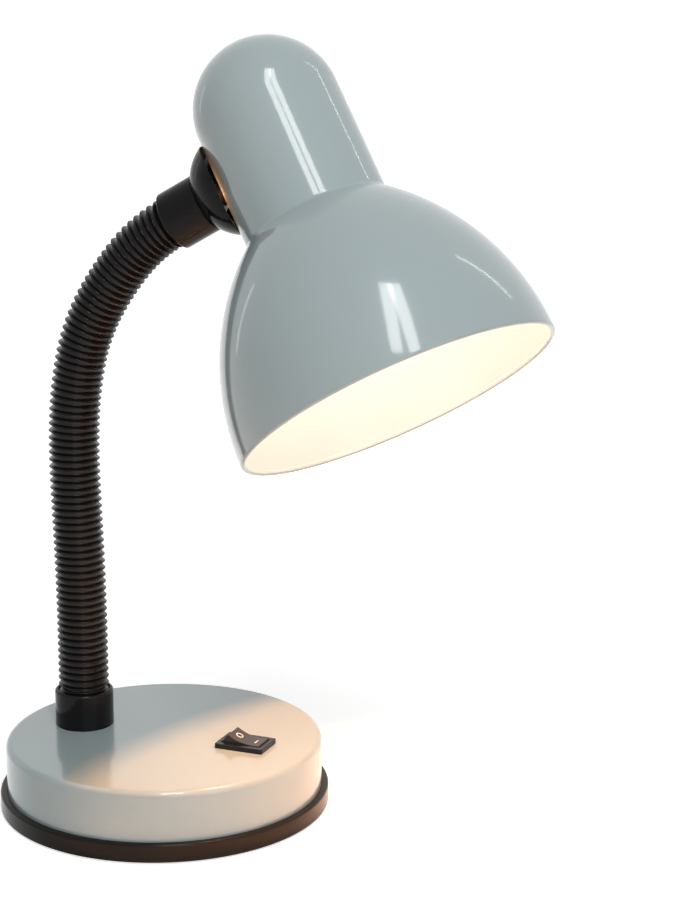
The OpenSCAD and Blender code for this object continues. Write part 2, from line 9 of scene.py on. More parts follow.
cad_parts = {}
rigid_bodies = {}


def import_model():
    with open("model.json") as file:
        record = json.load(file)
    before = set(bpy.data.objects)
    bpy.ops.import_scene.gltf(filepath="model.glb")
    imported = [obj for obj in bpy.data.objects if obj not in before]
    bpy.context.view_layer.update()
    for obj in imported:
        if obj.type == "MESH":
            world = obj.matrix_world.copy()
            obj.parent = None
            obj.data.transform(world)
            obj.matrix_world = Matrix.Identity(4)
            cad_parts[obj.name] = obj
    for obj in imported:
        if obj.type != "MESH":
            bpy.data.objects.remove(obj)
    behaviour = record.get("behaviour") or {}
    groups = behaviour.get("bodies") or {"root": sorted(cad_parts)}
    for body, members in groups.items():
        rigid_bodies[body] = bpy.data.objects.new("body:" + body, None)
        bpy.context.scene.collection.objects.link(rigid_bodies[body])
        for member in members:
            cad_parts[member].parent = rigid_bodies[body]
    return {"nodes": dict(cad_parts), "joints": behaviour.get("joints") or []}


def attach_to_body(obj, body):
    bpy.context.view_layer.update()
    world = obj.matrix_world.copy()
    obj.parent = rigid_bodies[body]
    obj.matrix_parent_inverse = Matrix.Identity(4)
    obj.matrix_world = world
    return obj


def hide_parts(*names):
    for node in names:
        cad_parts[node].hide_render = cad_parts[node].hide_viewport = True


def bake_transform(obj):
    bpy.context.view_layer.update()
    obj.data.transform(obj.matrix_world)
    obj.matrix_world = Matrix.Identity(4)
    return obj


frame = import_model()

bl_info = {
    "name": "Gooseneck desk lamp",
    "version": (1, 0, 0),
    "blender": (4, 5, 0),
    "location": "3D View > Sidebar > Desk lamp",
    "description": "Builds a gooseneck desk lamp with a rocker switch and a bell shade",
    "category": "Object",
}

MM = 0.001
PAST = MM  # how far a cutter reaches past the wall that it cuts
UP = Vector((0, 0, 1))
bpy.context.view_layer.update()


# ---------------------------------------------------------------- settings

def size(name, description, mm):
    """A length that is written in millimetres and kept in metres."""
    return FloatProperty(
        name=name, description=description, default=mm * MM, precision=5,
        subtype="DISTANCE", unit="LENGTH",
    )


def turn(name, description, degrees):
    """An angle that is written in degrees and kept in radians."""
    return FloatProperty(
        name=name, description=description, default=math.radians(degrees),
        subtype="ANGLE", unit="ROTATION",
    )


def tint(name, description, colour):
    """A scene-linear colour."""
    return FloatVectorProperty(
        name=name, description=description, default=colour, size=3, min=0, max=1,
        subtype="COLOR",
    )


def watts(name, description, power):
    """The power of a light."""
    return FloatProperty(name=name, description=description, default=power, min=0, unit="POWER")


def point(name, description, place):
    """A place in metres."""
    return FloatVectorProperty(
        name=name, description=description, default=place, size=3, subtype="XYZ", unit="LENGTH",
    )


class BaseSettings(bpy.types.PropertyGroup):
    """Sizes of the weighted base."""

    shell_r: size("Shell radius", "Outer radius of the painted shell", 64.7)
    shell_top: size("Shell top", "Height of the shell's flat top", 28.5)
    shell_low: size("Shell bottom", "Height of the shell's lower edge", 5)
    shell_wall: size("Shell wall", "Sheet thickness of the shell", 1)
    shell_round: size("Shell edge", "Rounding of the shell's top edge", 2.6)
    tray_r: size("Tray radius", "Outer radius of the tray", 67.5)
    tray_low: size("Tray lift", "Height of the tray's rim off the table", 0.6)
    tray_top: size("Tray top", "Height of the tray's rim", 8.1)
    tray_round: size("Tray edge", "Rounding of the tray's rim", 1.2)
    pad_r: size("Pad radius", "Radius of the foam pad", 57.4)
    pad_t: size("Pad thickness", "Thickness of the foam pad", 3)
    weight_top: size("Weight top", "Height of the iron weight's top", 12)
    post_r: size("Post radius", "Radius of a screw post under the shell's roof", 3.8)
    screw_r: size("Screw radius", "Radius of a base screw", 1.5)
    screw_head_r: size("Screw head", "Radius of a base screw's head", 2.9)
    screw_head_h: size("Screw head height", "Height of a countersunk head", 1.4)
    screw_ring_r: size("Screw ring", "Radius of the ring of base screws", 38)
    screw_deep: size("Screw depth", "Depth of a screw's hole in its post", 9)
    screw_play: size("Screw play", "Room round a screw in the tray", 0.2)
    seat_play: size("Seat play", "Room between the shell and the tray's lip", 0.05)
    pad_play: size("Pad play", "Room round the foam pad in its recess", 0.3)
    stud_hole_r: size("Stud hole", "Radius of the hole for the neck's stud", 5.3)
    gland_z: size("Gland height", "Height of the cord gland's middle", 18.766)
    gland_r: size("Gland barrel", "Radius of the gland's barrel", 4.1)
    gland_bore_r: size("Gland bore", "Radius of the gland's bore", 3.1)
    gland_flange_r: size("Gland flange", "Radius of the gland's flange", 5.7)
    gland_flange_t: size("Gland flange depth", "Thickness of the gland's flange", 3.4)
    gland_barrel: size("Gland length", "Length of the gland inside the shell", 7)


class SwitchSettings(bpy.types.PropertyGroup):
    """Sizes of the rocker switch."""

    fwd: size("Place", "Distance of the switch in front of the base's centre", 36.5)
    bezel_l: size("Bezel length", "Length of the bezel", 21)
    bezel_w: size("Bezel width", "Width of the bezel", 15)
    bezel_t: size("Bezel height", "Height of the bezel above the shell", 2)
    bezel_round: size("Bezel corner", "Rounding of the bezel's corners", 0.9)
    body_l: size("Body length", "Length of the body under the shell", 19)
    body_w: size("Body width", "Width of the body under the shell", 12.8)
    body_play: size("Body play", "Play of the body in the shell's slot", 0.3)
    mouth_l: size("Mouth length", "Length of the opening for the rocker", 17.4)
    mouth_w: size("Mouth width", "Width of the opening for the rocker", 10.2)
    pivot_drop: size("Pivot depth", "Depth of the rocker's pivot under the shell's top", 0.8)
    floor_t: size("Body floor", "Thickness of the body under the rocker", 1.8)
    drum_r: size("Drum radius", "Radius of the rocker's ends about its pivot", 8.4)
    drum_cut: size("Drum flat", "Depth of the flat under the drum", 4.5)
    dent_r: size("Hollow radius", "Radius of the hollow on top of the rocker", 20)
    dent_z: size("Hollow depth", "Height of the hollow's middle over the pivot", 3.75)
    rocker_w: size("Rocker width", "Width of the rocker", 9.6)
    trunnion_r: size("Trunnion radius", "Radius of the rocker's pins", 1.5)
    trunnion_play: size("Trunnion play", "Distance of a pin's end from the body's side", 0.2)
    tip: turn("Tip", "How far each end of the rocker tips from level", 14)
    off_x: size("O place", "Distance of the O mark behind the pivot", 3.5)
    off_r: size("O radius", "Outer radius of the O mark", 1.55)
    on_x: size("I place", "Distance of the I mark in front of the pivot", 4.1)
    on_l: size("I length", "Length of the I mark", 3.5)
    line_w: size("Mark line", "Width of a mark's line", 0.42)
    ink_t: size("Ink", "How far the print stands off the rocker", 0.03)


class NeckSettings(bpy.types.PropertyGroup):
    """Sizes of the flexible neck."""

    foot_back: size("Foot", "Distance of the neck's foot behind the base's centre", 37)
    collar_r: size("Collar radius", "Radius of the collar at the foot", 12.1)
    collar_h: size("Collar height", "Height of the collar", 15.3)
    collar_round: size("Collar edge", "Rounding of the collar's top edge", 1.1)
    hose_r: size("Hose radius", "Radius of the steel hose inside the cover", 6.9)
    link_l: size("Length", "Length of neck between two bending planes", 23.2)
    ribs: IntProperty(name="Ribs", description="Ribs on each length", default=8, min=4)
    rib_r: size("Rib radius", "Radius over the ribs", 10.4)
    groove_r: size("Groove radius", "Radius in the grooves", 8.9)
    rib_w: size("Rib width", "Width of a rib at its root", 1.75)
    cover_t: size("Cover wall", "Thickness of the cover's wall", 1.1)
    mouth_deep: size("Mouth depth", "How deep the cover sits in a collar's mouth", 3)
    mouth_play: size("Mouth play", "Room between the cover's ribs and a collar's mouth", 0.3)
    rings: IntProperty(name="Rings", description="Rings of faces on each rib", default=16, min=8)
    sides: IntProperty(name="Sides", description="Faces round the cover", default=60, min=12)


class HeadSettings(bpy.types.PropertyGroup):
    """Sizes of the sleeve and the dish, from the crossing of their axis and the shade's."""

    turn: turn("Neck turn", "Direction that the neck leans in", 8)
    rise: turn("Sleeve rise", "Angle of the sleeve above the level", 30)
    roll: turn("Roll", "How far the shade is rolled about the sleeve's axis", -16.2)
    hinge_x: size("Last plane", "Distance of the last bending plane", 54.842)
    mouth_x: size("Sleeve mouth", "Distance of the sleeve's mouth", 54.042)
    web_x: size("Dish back", "Distance of the dish's back", 37.742)
    web_t: size("Web", "Thickness of the wall between sleeve and dish", 2.4)
    sleeve_r: size("Sleeve radius", "Radius of the sleeve", 12)
    sleeve_round: size("Sleeve edge", "Rounding of the sleeve's mouth", 0.8)
    tube_r: size("Tube radius", "Radius of the threaded tube's hole", 5.05)
    dish_hole_r: size("Dish hole", "Radius of the hole in the dish", 5.3)
    dish_x: size("Ball", "Distance of the ball behind the dish's wall", 19.9)
    dish_r: size("Dish radius", "Radius of the ball that the dish's back follows", 21.5)
    dish_wall: size("Dish wall", "Thickness of the dish", 1.6)
    rim_x: size("Seat", "Distance of the seat that the dish's rim is cut to", 29)
    seat_r: size("Seat radius", "Radius of that seat", 56)


class ShadeSettings(bpy.types.PropertyGroup):
    """Sizes of the shade."""

    cap_r: size("Neck radius", "Outer radius of the shade's neck and dome", 29)
    cap_l: size("Neck length", "Length of the straight neck under the dome", 48.3)
    rim_r: size("Rim radius", "Outer radius at the rim", 64.3)
    shade_l: size("Length", "Length from the dome's centre to the rim", 124.8)
    wall: size("Wall", "Sheet thickness", 0.8)
    hem_r: size("Hem", "Radius of the rolled edge", 1.1)
    seat_drop: size("Seat depth", "Depth of the sleeve's axis below the dome's centre", 19.7)
    crease_r: size("Crease", "Rounding of the crease over the bowl", 2)
    port_r: size("Port radius", "Radius of the opening behind the dish", 12)


class HolderSettings(bpy.types.PropertyGroup):
    """Sizes of the lampholder and the bulb, from the crossing of the head's axes."""

    cap_r: size("Cap radius", "Radius of the lampholder's cap", 14)
    cap_top: size("Cap top", "Height of the cap's top", 19.2)
    cap_round: size("Cap edge", "Rounding of the cap's top edge", 3)
    recess: size("Recess", "Depth of the cap's recess over the skirt", 3)
    tube_low: size("Tube end", "Height of the threaded tube's lower end", 12.7)
    tube_r: size("Tube radius", "Radius of the threaded tube", 5)
    lead_r: size("Lead channel", "Radius of the channel for the lead", 3)
    skirt_r: size("Skirt radius", "Radius of the skirt", 13)
    skirt_top: size("Skirt top", "Height of the skirt's top", 6)
    skirt_l: size("Skirt length", "Length of the skirt", 30)
    skirt_lip: size("Lip", "How far the skirt's lip stands out", 0.8)
    skirt_lip_h: size("Lip height", "Height of the skirt's lip", 3)
    skirt_wall: size("Cap wall", "Wall of the cap over the skirt", 2)
    socket_r: size("Socket radius", "Radius of the bore for the socket shell", 7.45)
    socket_l: size("Socket depth", "Depth of the bore for the socket shell", 26)
    bulb_r: size("Bulb radius", "Radius of the bulb", 22.5)
    glass_l: size("Glass length", "Length of the glass below the lampholder", 50)
    glass_t: size("Glass wall", "Thickness of the glass", 1)
    throat_r: size("Throat radius", "Radius of the glass in its cap", 5.7)
    throat_l: size("Throat length", "Length of the glass's throat", 4)
    throat_out: size("Throat show", "How much of the throat is below the lampholder", 2)
    shoulder: turn("Shoulder", "Turn at which the ball runs into the throat", 35)


class FinishSettings(bpy.types.PropertyGroup):
    """Colours of the finishes."""

    paint: tint("Paint", "Stove paint of the shell and the shade", (0.375, 0.452, 0.46))
    enamel: tint("Enamel", "White inside of the shade", (0.84, 0.82, 0.76))
    black: tint("Black", "Moulded black plastic", (0.0055, 0.0055, 0.006))
    glow: tint("Glow", "Colour of the lit glass", (1, 0.98, 0.93))
    glow_power: FloatProperty(name="Glow power", description="Brightness of the lit glass",
                              default=3.5, min=0)


class SpillSettings(bpy.types.PropertyGroup):
    """Warm lights that stand for what the bulb sends out of the shade."""

    colour: tint("Colour", "Colour of the light that leaves the shade", (1, 0.45, 0.19))
    down: watts("Down", "Light that leaves the shade downwards", 2.7)
    spread: turn("Spread", "Full angle of that light", 170)
    lift: size("Lift", "How far that light starts inside the bulb's tip", 9)
    aim: point("Aim", "Point on the base that it looks at", (0.02, 0, 0.028))
    slit: watts("Slit", "Light that shows in the slit behind the dish", 0.018)
    slit_place: point("Slit place", "Its place from the crossing of the head's axes",
                     (-0.032, -0.009, -0.003))
    back: watts("Back", "Light that comes back up off the table", 0.135)
    table: watts("Table", "Light off the table on the black pieces alone", 6.75)
    pool: point("Pool", "Middle of the lit patch on the table", (0.2, -0.05, 0.002))
    pool_side: size("Pool side", "Side of the lit patch on the table", 260)


class StudioSettings(bpy.types.PropertyGroup):
    """Camera, lights and floor."""

    eye: point("Eye", "Place of the camera", (0.388, -0.767, 0.346))
    target: point("Target", "Point that the camera looks at", (0.0674, 0.0255, 0.1481))
    lens: FloatProperty(name="Lens", description="Focal length in millimetres", default=87.7)
    ambient: FloatProperty(name="Ambient", description="Even light from all round",
                           default=0.2, min=0)
    lit_x: size("Lit", "How far in front of the base's centre the soft lights aim", 50)
    floor_r: FloatProperty(name="Floor", description="Half the width of the floor", default=6,
                           subtype="DISTANCE", unit="LENGTH")


class DeskLampSettings(bpy.types.PropertyGroup):
    """Everything that the desk lamp's operators read."""

    base: PointerProperty(type=BaseSettings)
    switch: PointerProperty(type=SwitchSettings)
    neck: PointerProperty(type=NeckSettings)
    head: PointerProperty(type=HeadSettings)
    shade: PointerProperty(type=ShadeSettings)
    holder: PointerProperty(type=HolderSettings)
    finish: PointerProperty(type=FinishSettings)
    spill: PointerProperty(type=SpillSettings)
    studio: PointerProperty(type=StudioSettings)


def lamp():
    """The desk lamp's settings."""
    return bpy.context.scene.desk_lamp


# ------------------------------------------------------------------ places

def upright(x=0, y=0, z=0):
    """A place that stands upright at a point."""
    return Matrix.Translation((x, y, z))


def head_place(head):
    """The crossing of the sleeve's axis and the shade's: X along the sleeve, Z up the shade."""
    last_hinge = neck_chain()[1][-1]
    return (
        Matrix.Translation(last_hinge)
        @ Matrix.Rotation(head.turn, 4, "Z")
        @ Matrix.Rotation(-head.rise, 4, "Y")
        @ Matrix.Translation((head.hinge_x, 0, 0))
        @ Matrix.Rotation(head.roll, 4, "X")
    )


def along_x(place):
    """The same place, with Z turned onto its X axis."""
    return place @ Matrix.Rotation(math.pi / 2, 4, "Y")


def neck_chain():
    """The bodies from the base to the head, and the hinge between each and the next."""
    after = {j["parent"]: j for j in frame["joints"] if j["child"] != "rocker"}
    bodies = ["base"]
    hinges = []
    while bodies[-1] in after:
        joint = after[bodies[-1]]
        hinges.append(Vector(joint["pos_m"]))
        bodies.append(joint["child"])
    return bodies, hinges


class CentreLine:
    """The neck's centre line at rest, one arc for each length between two hinges."""

    def __init__(self, hinges, link_l):
        self.hinges = hinges
        self.link_l = link_l
        self.total = link_l * (len(hinges) - 1)
        self.headings = [Vector((0, 0, 1))]
        for here, there in zip(hinges, hinges[1:]):
            chord = (there - here).normalized()
            heading = self.headings[-1]
            self.headings.append(2 * heading.dot(chord) * chord - heading)

    def at(self, s):
        """The point at distance s past the first hinge. Beyond both ends the line is straight."""
        if s <= 0:
            return self.hinges[0] + self.headings[0] * s
        if s >= self.total:
            return self.hinges[-1] + self.headings[-1] * (s - self.total)
        i = int(s / self.link_l)
        past = s - i * self.link_l
        heading = self.headings[i]
        bend = heading.angle(self.headings[i + 1])
        if bend < 1e-4:
            return self.hinges[i] + heading * past
        sideways = (self.headings[i + 1] - heading * math.cos(bend)).normalized()
        radius = self.link_l / bend
        angle = past / radius
        return (self.hinges[i] + heading * radius * math.sin(angle)
                + sideways * radius * (1 - math.cos(angle)))


# ------------------------------------------------------------- mesh making

def add_piece(name, mesh, material=None):
    """A new object for a mesh, with its finish."""
    piece = bpy.data.objects.new(name, mesh)
    bpy.context.scene.collection.objects.link(piece)
    if material:
        mesh.materials.append(material)
    return piece


def settle(piece):
    """Turns a piece and its modifiers into a plain mesh."""
    depsgraph = bpy.context.evaluated_depsgraph_get()
    mesh = bpy.data.meshes.new_from_object(piece.evaluated_get(depsgraph))
    mesh.name = piece.name
    piece.modifiers.clear()
    piece.data = mesh
    return piece


def combine(piece, tool, operation):
    """Cuts a tool out of a piece or joins it on, and drops the tool."""
    boolean = piece.modifiers.new("combine", "BOOLEAN")
    boolean.operation = operation
    boolean.solver = "EXACT"
    boolean.object = tool
    settle(piece)
    bpy.data.objects.remove(tool, do_unlink=True)
    return piece


def soften(piece, sharp=32):
    """Smooth faces that break at edges over the sharp angle, with flat faces kept flat."""
    piece.data.shade_smooth()
    piece.data.set_sharp_from_angle(angle=math.radians(sharp))
    weighted = piece.modifiers.new("weighted_normals", "WEIGHTED_NORMAL")
    weighted.keep_sharp = True
    return piece


def break_edges(piece, width, sharp=32, segments=2):
    """A small round on every sharp edge."""
    bevel = piece.modifiers.new("broken_edges", "BEVEL")
    bevel.width = width
    bevel.segments = segments
    bevel.limit_method = "ANGLE"
    bevel.angle_limit = math.radians(sharp)
    return settle(piece)


def arc(centre, radius, start, end, steps):
    """Points on a circle from one angle to another, in degrees."""
    angles = [math.radians(start + (end - start) * k / steps) for k in range(steps + 1)]
    return [(centre[0] + radius * math.cos(a), centre[1] + radius * math.sin(a)) for a in angles]


def rounded(corners, steps=5):
    """A closed outline's points, where a corner is (x, y) or (x, y, fillet)."""
    points = []
    for i, corner in enumerate(corners):
        here = Vector(corner[:2])
        if len(corner) < 3:
            points.append(here)
            continue
        back = (Vector(corners[i - 1][:2]) - here).normalized()
        ahead = (Vector(corners[(i + 1) % len(corners)][:2]) - here).normalized()
        half = back.angle(ahead) / 2
        centre = here + (back + ahead).normalized() * corner[2] / math.sin(half)
        first = here + back * corner[2] / math.tan(half) - centre
        last = here + ahead * corner[2] / math.tan(half) - centre
        sweep = math.pi - 2 * half
        for k in range(steps + 1):
            share = k / steps
            swing = first * math.sin((1 - share) * sweep) + last * math.sin(share * sweep)
            points.append(centre + swing / math.sin(sweep))
    return points


def skinned(name, loops, place, close_ends, material=None):
    """Skins loops of points in order. A loop of one point is a pole. Without ends to close,
    the last loop runs into the first."""
    bm = bmesh.new()
    rings = [[bm.verts.new(place @ Vector(p)) for p in loop] for loop in loops]
    for i in range(len(rings) - (1 if close_ends else 0)):
        below = rings[i]
        above = rings[(i + 1) % len(rings)]
        count = max(len(below), len(above))
        if count == 1:
            continue
        for k in range(count):
            n = (k + 1) % count
            corners = [below[k % len(below)], below[n % len(below)],
                       above[n % len(above)], above[k % len(above)]]
            bm.faces.new(list(dict.fromkeys(corners)))
    if close_ends:
        for ring in (rings[0], rings[-1]):
            if len(ring) > 2:
                bm.faces.new(ring)
    bmesh.ops.recalc_face_normals(bm, faces=bm.faces)
    mesh = bpy.data.meshes.new(name)
    bm.to_mesh(mesh)
    bm.free()
    return add_piece(name, mesh, material)


def turned(name, section, place, material=None, segments=128):
    """A closed half section of (radius, height) points turned about the place's Z axis."""
    angles = [2 * math.pi * k / segments for k in range(segments)]
    loops = []
    for r, z in section:
        if r < 1e-6:
            loops.append([(0, 0, z)])
        else:
            loops.append([(r * math.cos(a), r * math.sin(a), z) for a in angles])
    return skinned(name, loops, place, False, material)


def rounded_rectangle(length, width, radius, z, steps=6):
    """A level loop of points round a rectangle with round corners."""
    points = []
    for quarter, (x, y) in enumerate([(1, 1), (-1, 1), (-1, -1), (1, -1)]):
        centre = (x * (length / 2 - radius), y * (width / 2 - radius))
        points += arc(centre, radius, 90 * quarter, 90 * quarter + 90, steps)
    return [(x, y, z) for x, y in points]


def attach(piece, body, slot, *nodes):
    """Hangs a finished piece on its body, in place of CAD nodes."""
    if nodes:
        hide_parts(*nodes)
    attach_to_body(piece, body)


# ---------------------------------------------------------------- finishes

def add_node(tree, kind, inputs=None, **options):
    """A node with its options set, and its inputs set or linked."""
    made = tree.nodes.new(kind)
    for option, value in options.items():
        setattr(made, option, value)
    for name, value in (inputs or {}).items():
        if isinstance(value, bpy.types.NodeSocket):
            tree.links.new(value, made.inputs[name])
        else:
            made.inputs[name].default_value = value
    return made


def finish(build):
    """Makes a finish when it is first asked for, and keeps it."""
    def fetch():
        name = f"{build.__name__}_finish"
        if name in bpy.data.materials:
            return bpy.data.materials[name]
        material = bpy.data.materials.new(name)
        material.use_nodes = True
        tree = material.node_tree
        tree.nodes.clear()
        coords = add_node(tree, "ShaderNodeTexCoord").outputs["Object"]
        shader = add_node(tree, "ShaderNodeBsdfPrincipled")
        add_node(tree, "ShaderNodeOutputMaterial", {"Surface": shader.outputs["BSDF"]})
        build(tree, coords, shader)
        return material
    return fetch


def noise(tree, coords, scale, detail=3.0):
    """Even noise with features of one over scale metres."""
    return add_node(tree, "ShaderNodeTexNoise",
                    {"Vector": coords, "Scale": scale, "Detail": detail}).outputs["Fac"]


def vary_colour(tree, shader, fac, colour, other):
    """Base colour that drifts between two colours."""
    span = add_node(tree, "ShaderNodeMapRange",
                    {"Value": fac, "From Min": 0.2, "From Max": 0.8}).outputs["Result"]
    # Sockets 0, 6 and 7 of a colour mix are its share and its two colours.
    mix = add_node(tree, "ShaderNodeMix", data_type="RGBA")
    tree.links.new(span, mix.inputs[0])
    mix.inputs[6].default_value = (*colour, 1)
    mix.inputs[7].default_value = (*other, 1)
    tree.links.new(mix.outputs[2], shader.inputs["Base Color"])


def vary_rough(tree, shader, fac, low, high):
    """Roughness that drifts between two values."""
    span = add_node(tree, "ShaderNodeMapRange",
                    {"Value": fac, "From Min": 0.2, "From Max": 0.8, "To Min": low, "To Max": high})
    tree.links.new(span.outputs["Result"], shader.inputs["Roughness"])


def relief(tree, shader, height, depth):
    """Bumps of a depth in metres."""
    bump = add_node(tree, "ShaderNodeBump", {"Height": height, "Strength": 1.0, "Distance": depth})
    tree.links.new(bump.outputs["Normal"], shader.inputs["Normal"])


def scaled(colour, share):
    """A lighter or darker version of a colour."""
    return tuple(min(c * share, 1) for c in colour)


def plastic(tree, coords, shader, colour, rough, grain, depth, shine=0.5):
    """Moulded plastic with a fine grain from its mould."""
    vary_colour(tree, shader, noise(tree, coords, 35), scaled(colour, 0.85), scaled(colour, 1.2))
    vary_rough(tree, shader, noise(tree, coords, 90, 5), *rough)
    relief(tree, shader, noise(tree, coords, grain, 2), depth)
    shader.inputs["Specular IOR Level"].default_value = shine


def metal(tree, coords, shader, colour, rough, grain, depth):
    """Bare or plated metal with a worked surface."""
    vary_colour(tree, shader, noise(tree, coords, 140, 4),
                scaled(colour, 0.86), scaled(colour, 1.06))
    vary_rough(tree, shader, noise(tree, coords, 260, 6), *rough)
    relief(tree, shader, noise(tree, coords, grain, 4), depth)
    shader.inputs["Metallic"].default_value = 1.0


@finish
def stove_paint(tree, coords, shader):
    """Glossy stove paint: a clear top over a colour that is never quite even."""
    colour = tuple(lamp().finish.paint)
    vary_colour(tree, shader, noise(tree, coords, 14, 2),
                scaled(colour, 0.98), scaled(colour, 1.02))
    vary_rough(tree, shader, noise(tree, coords, 40, 2), 0.27, 0.33)
    relief(tree, shader, noise(tree, coords, 300, 1), 0.003 * MM)
    shader.inputs["Specular IOR Level"].default_value = 0.1
    shader.inputs["Coat Weight"].default_value = 0.9
    shader.inputs["Coat Roughness"].default_value = 0.09


@finish
def white_enamel(tree, coords, shader):
    colour = tuple(lamp().finish.enamel)
    vary_colour(tree, shader, noise(tree, coords, 30, 4),
                scaled(colour, 0.97), scaled(colour, 1.02))
    vary_rough(tree, shader, noise(tree, coords, 120, 4), 0.36, 0.46)
    relief(tree, shader, noise(tree, coords, 700, 2), 0.004 * MM)


@finish
def gloss_black(tree, coords, shader):
    plastic(tree, coords, shader, tuple(lamp().finish.black),
            rough=(0.07, 0.12), grain=900, depth=0.002 * MM, shine=0.14)


@finish
def sleeve_black(tree, coords, shader):
    plastic(tree, coords, shader, tuple(lamp().finish.black),
            rough=(0.1, 0.16), grain=1400, depth=0.002 * MM, shine=0.1)


@finish
def neck_black(tree, coords, shader):
    plastic(tree, coords, shader, tuple(lamp().finish.black),
            rough=(0.09, 0.13), grain=1700, depth=0.002 * MM, shine=0.18)


@finish
def tray_black(tree, coords, shader):
    plastic(tree, coords, shader, (0.011, 0.0085, 0.0065),
            rough=(0.16, 0.24), grain=2600, depth=0.005 * MM, shine=0.1)


@finish
def bezel_black(tree, coords, shader):
    plastic(tree, coords, shader, (0.01, 0.0095, 0.009),
            rough=(0.2, 0.3), grain=3200, depth=0.004 * MM, shine=0.3)


# Painted reflection: the rocker's black is lifted to a warm dark brown so that it looks lit by the
# shade's warm light.
@finish
def rocker_black(tree, coords, shader):
    plastic(tree, coords, shader, (0.03, 0.025, 0.022),
            rough=(0.3, 0.4), grain=4200, depth=0.006 * MM)


@finish
def print_white(tree, coords, shader):
    plastic(tree, coords, shader, (0.86, 0.85, 0.8),
            rough=(0.45, 0.6), grain=5000, depth=0.004 * MM)


@finish
def foam(tree, coords, shader):
    """Closed-cell foam: a bed of small round cells."""
    cells = add_node(tree, "ShaderNodeTexVoronoi", {"Vector": coords, "Scale": 900.0},
                     feature="SMOOTH_F1").outputs["Distance"]
    vary_colour(tree, shader, cells, (0.012, 0.012, 0.012), (0.04, 0.04, 0.041))
    vary_rough(tree, shader, noise(tree, coords, 300), 0.85, 1.0)
    relief(tree, shader, cells, 0.25 * MM)


@finish
def cast_iron(tree, coords, shader):
    metal(tree, coords, shader, (0.13, 0.125, 0.12),
          rough=(0.55, 0.8), grain=650, depth=0.12 * MM)


@finish
def zinc_plate(tree, coords, shader):
    metal(tree, coords, shader, (0.62, 0.63, 0.64),
          rough=(0.24, 0.42), grain=1500, depth=0.006 * MM)


@finish
def hose_steel(tree, coords, shader):
    metal(tree, coords, shader, (0.45, 0.455, 0.46),
          rough=(0.3, 0.45), grain=1200, depth=0.01 * MM)


@finish
def nickel(tree, coords, shader):
    metal(tree, coords, shader, (0.66, 0.63, 0.58),
          rough=(0.16, 0.28), grain=1800, depth=0.004 * MM)


@finish
def brass(tree, coords, shader):
    metal(tree, coords, shader, (0.79, 0.58, 0.24),
          rough=(0.22, 0.36), grain=1600, depth=0.005 * MM)


@finish
def lead_sheath(tree, coords, shader):
    plastic(tree, coords, shader, (0.03, 0.03, 0.032),
            rough=(0.42, 0.55), grain=1300, depth=0.01 * MM)


@finish
def holder_ivory(tree, coords, shader):
    plastic(tree, coords, shader, (0.72, 0.68, 0.58),
            rough=(0.3, 0.42), grain=1100, depth=0.005 * MM)


@finish
def opal_glass(tree, coords, shader):
    """Lit opal glass, a little uneven in its coating."""
    settings = lamp().finish
    glow = tuple(settings.glow)
    vary_colour(tree, shader, noise(tree, coords, 80), (0.8, 0.78, 0.74), (0.86, 0.84, 0.8))
    vary_rough(tree, shader, noise(tree, coords, 200), 0.3, 0.4)
    relief(tree, shader, noise(tree, coords, 900), 0.003 * MM)
    shader.inputs["Emission Color"].default_value = (*glow, 1)
    shader.inputs["Emission Strength"].default_value = settings.glow_power


# Finish of each CAD node that shows as it is.
NODE_FINISHES = {
    cast_iron: ["base_weight"],
    zinc_plate: ["tray_screws", "neck_stud", "stud_washer", "stud_nut", "dish_nut", "head_nipple",
                 "nipple_nut", "holder_bracket", "bracket_nipple", "bracket_nut"],
    lead_sheath: ["base_lead", "head_lead"],
    bezel_black: ["gland_nut"],
    brass: ["switch_terminals", "socket_shell", "socket_contact"],
    nickel: ["bulb_cap", "bulb_contact"],
    hose_steel: ["hose_foot", "hose_end"]
    + [node for node in frame["nodes"] if node.startswith("neck_hose")],
}


# --------------------------------------------------------------- operators

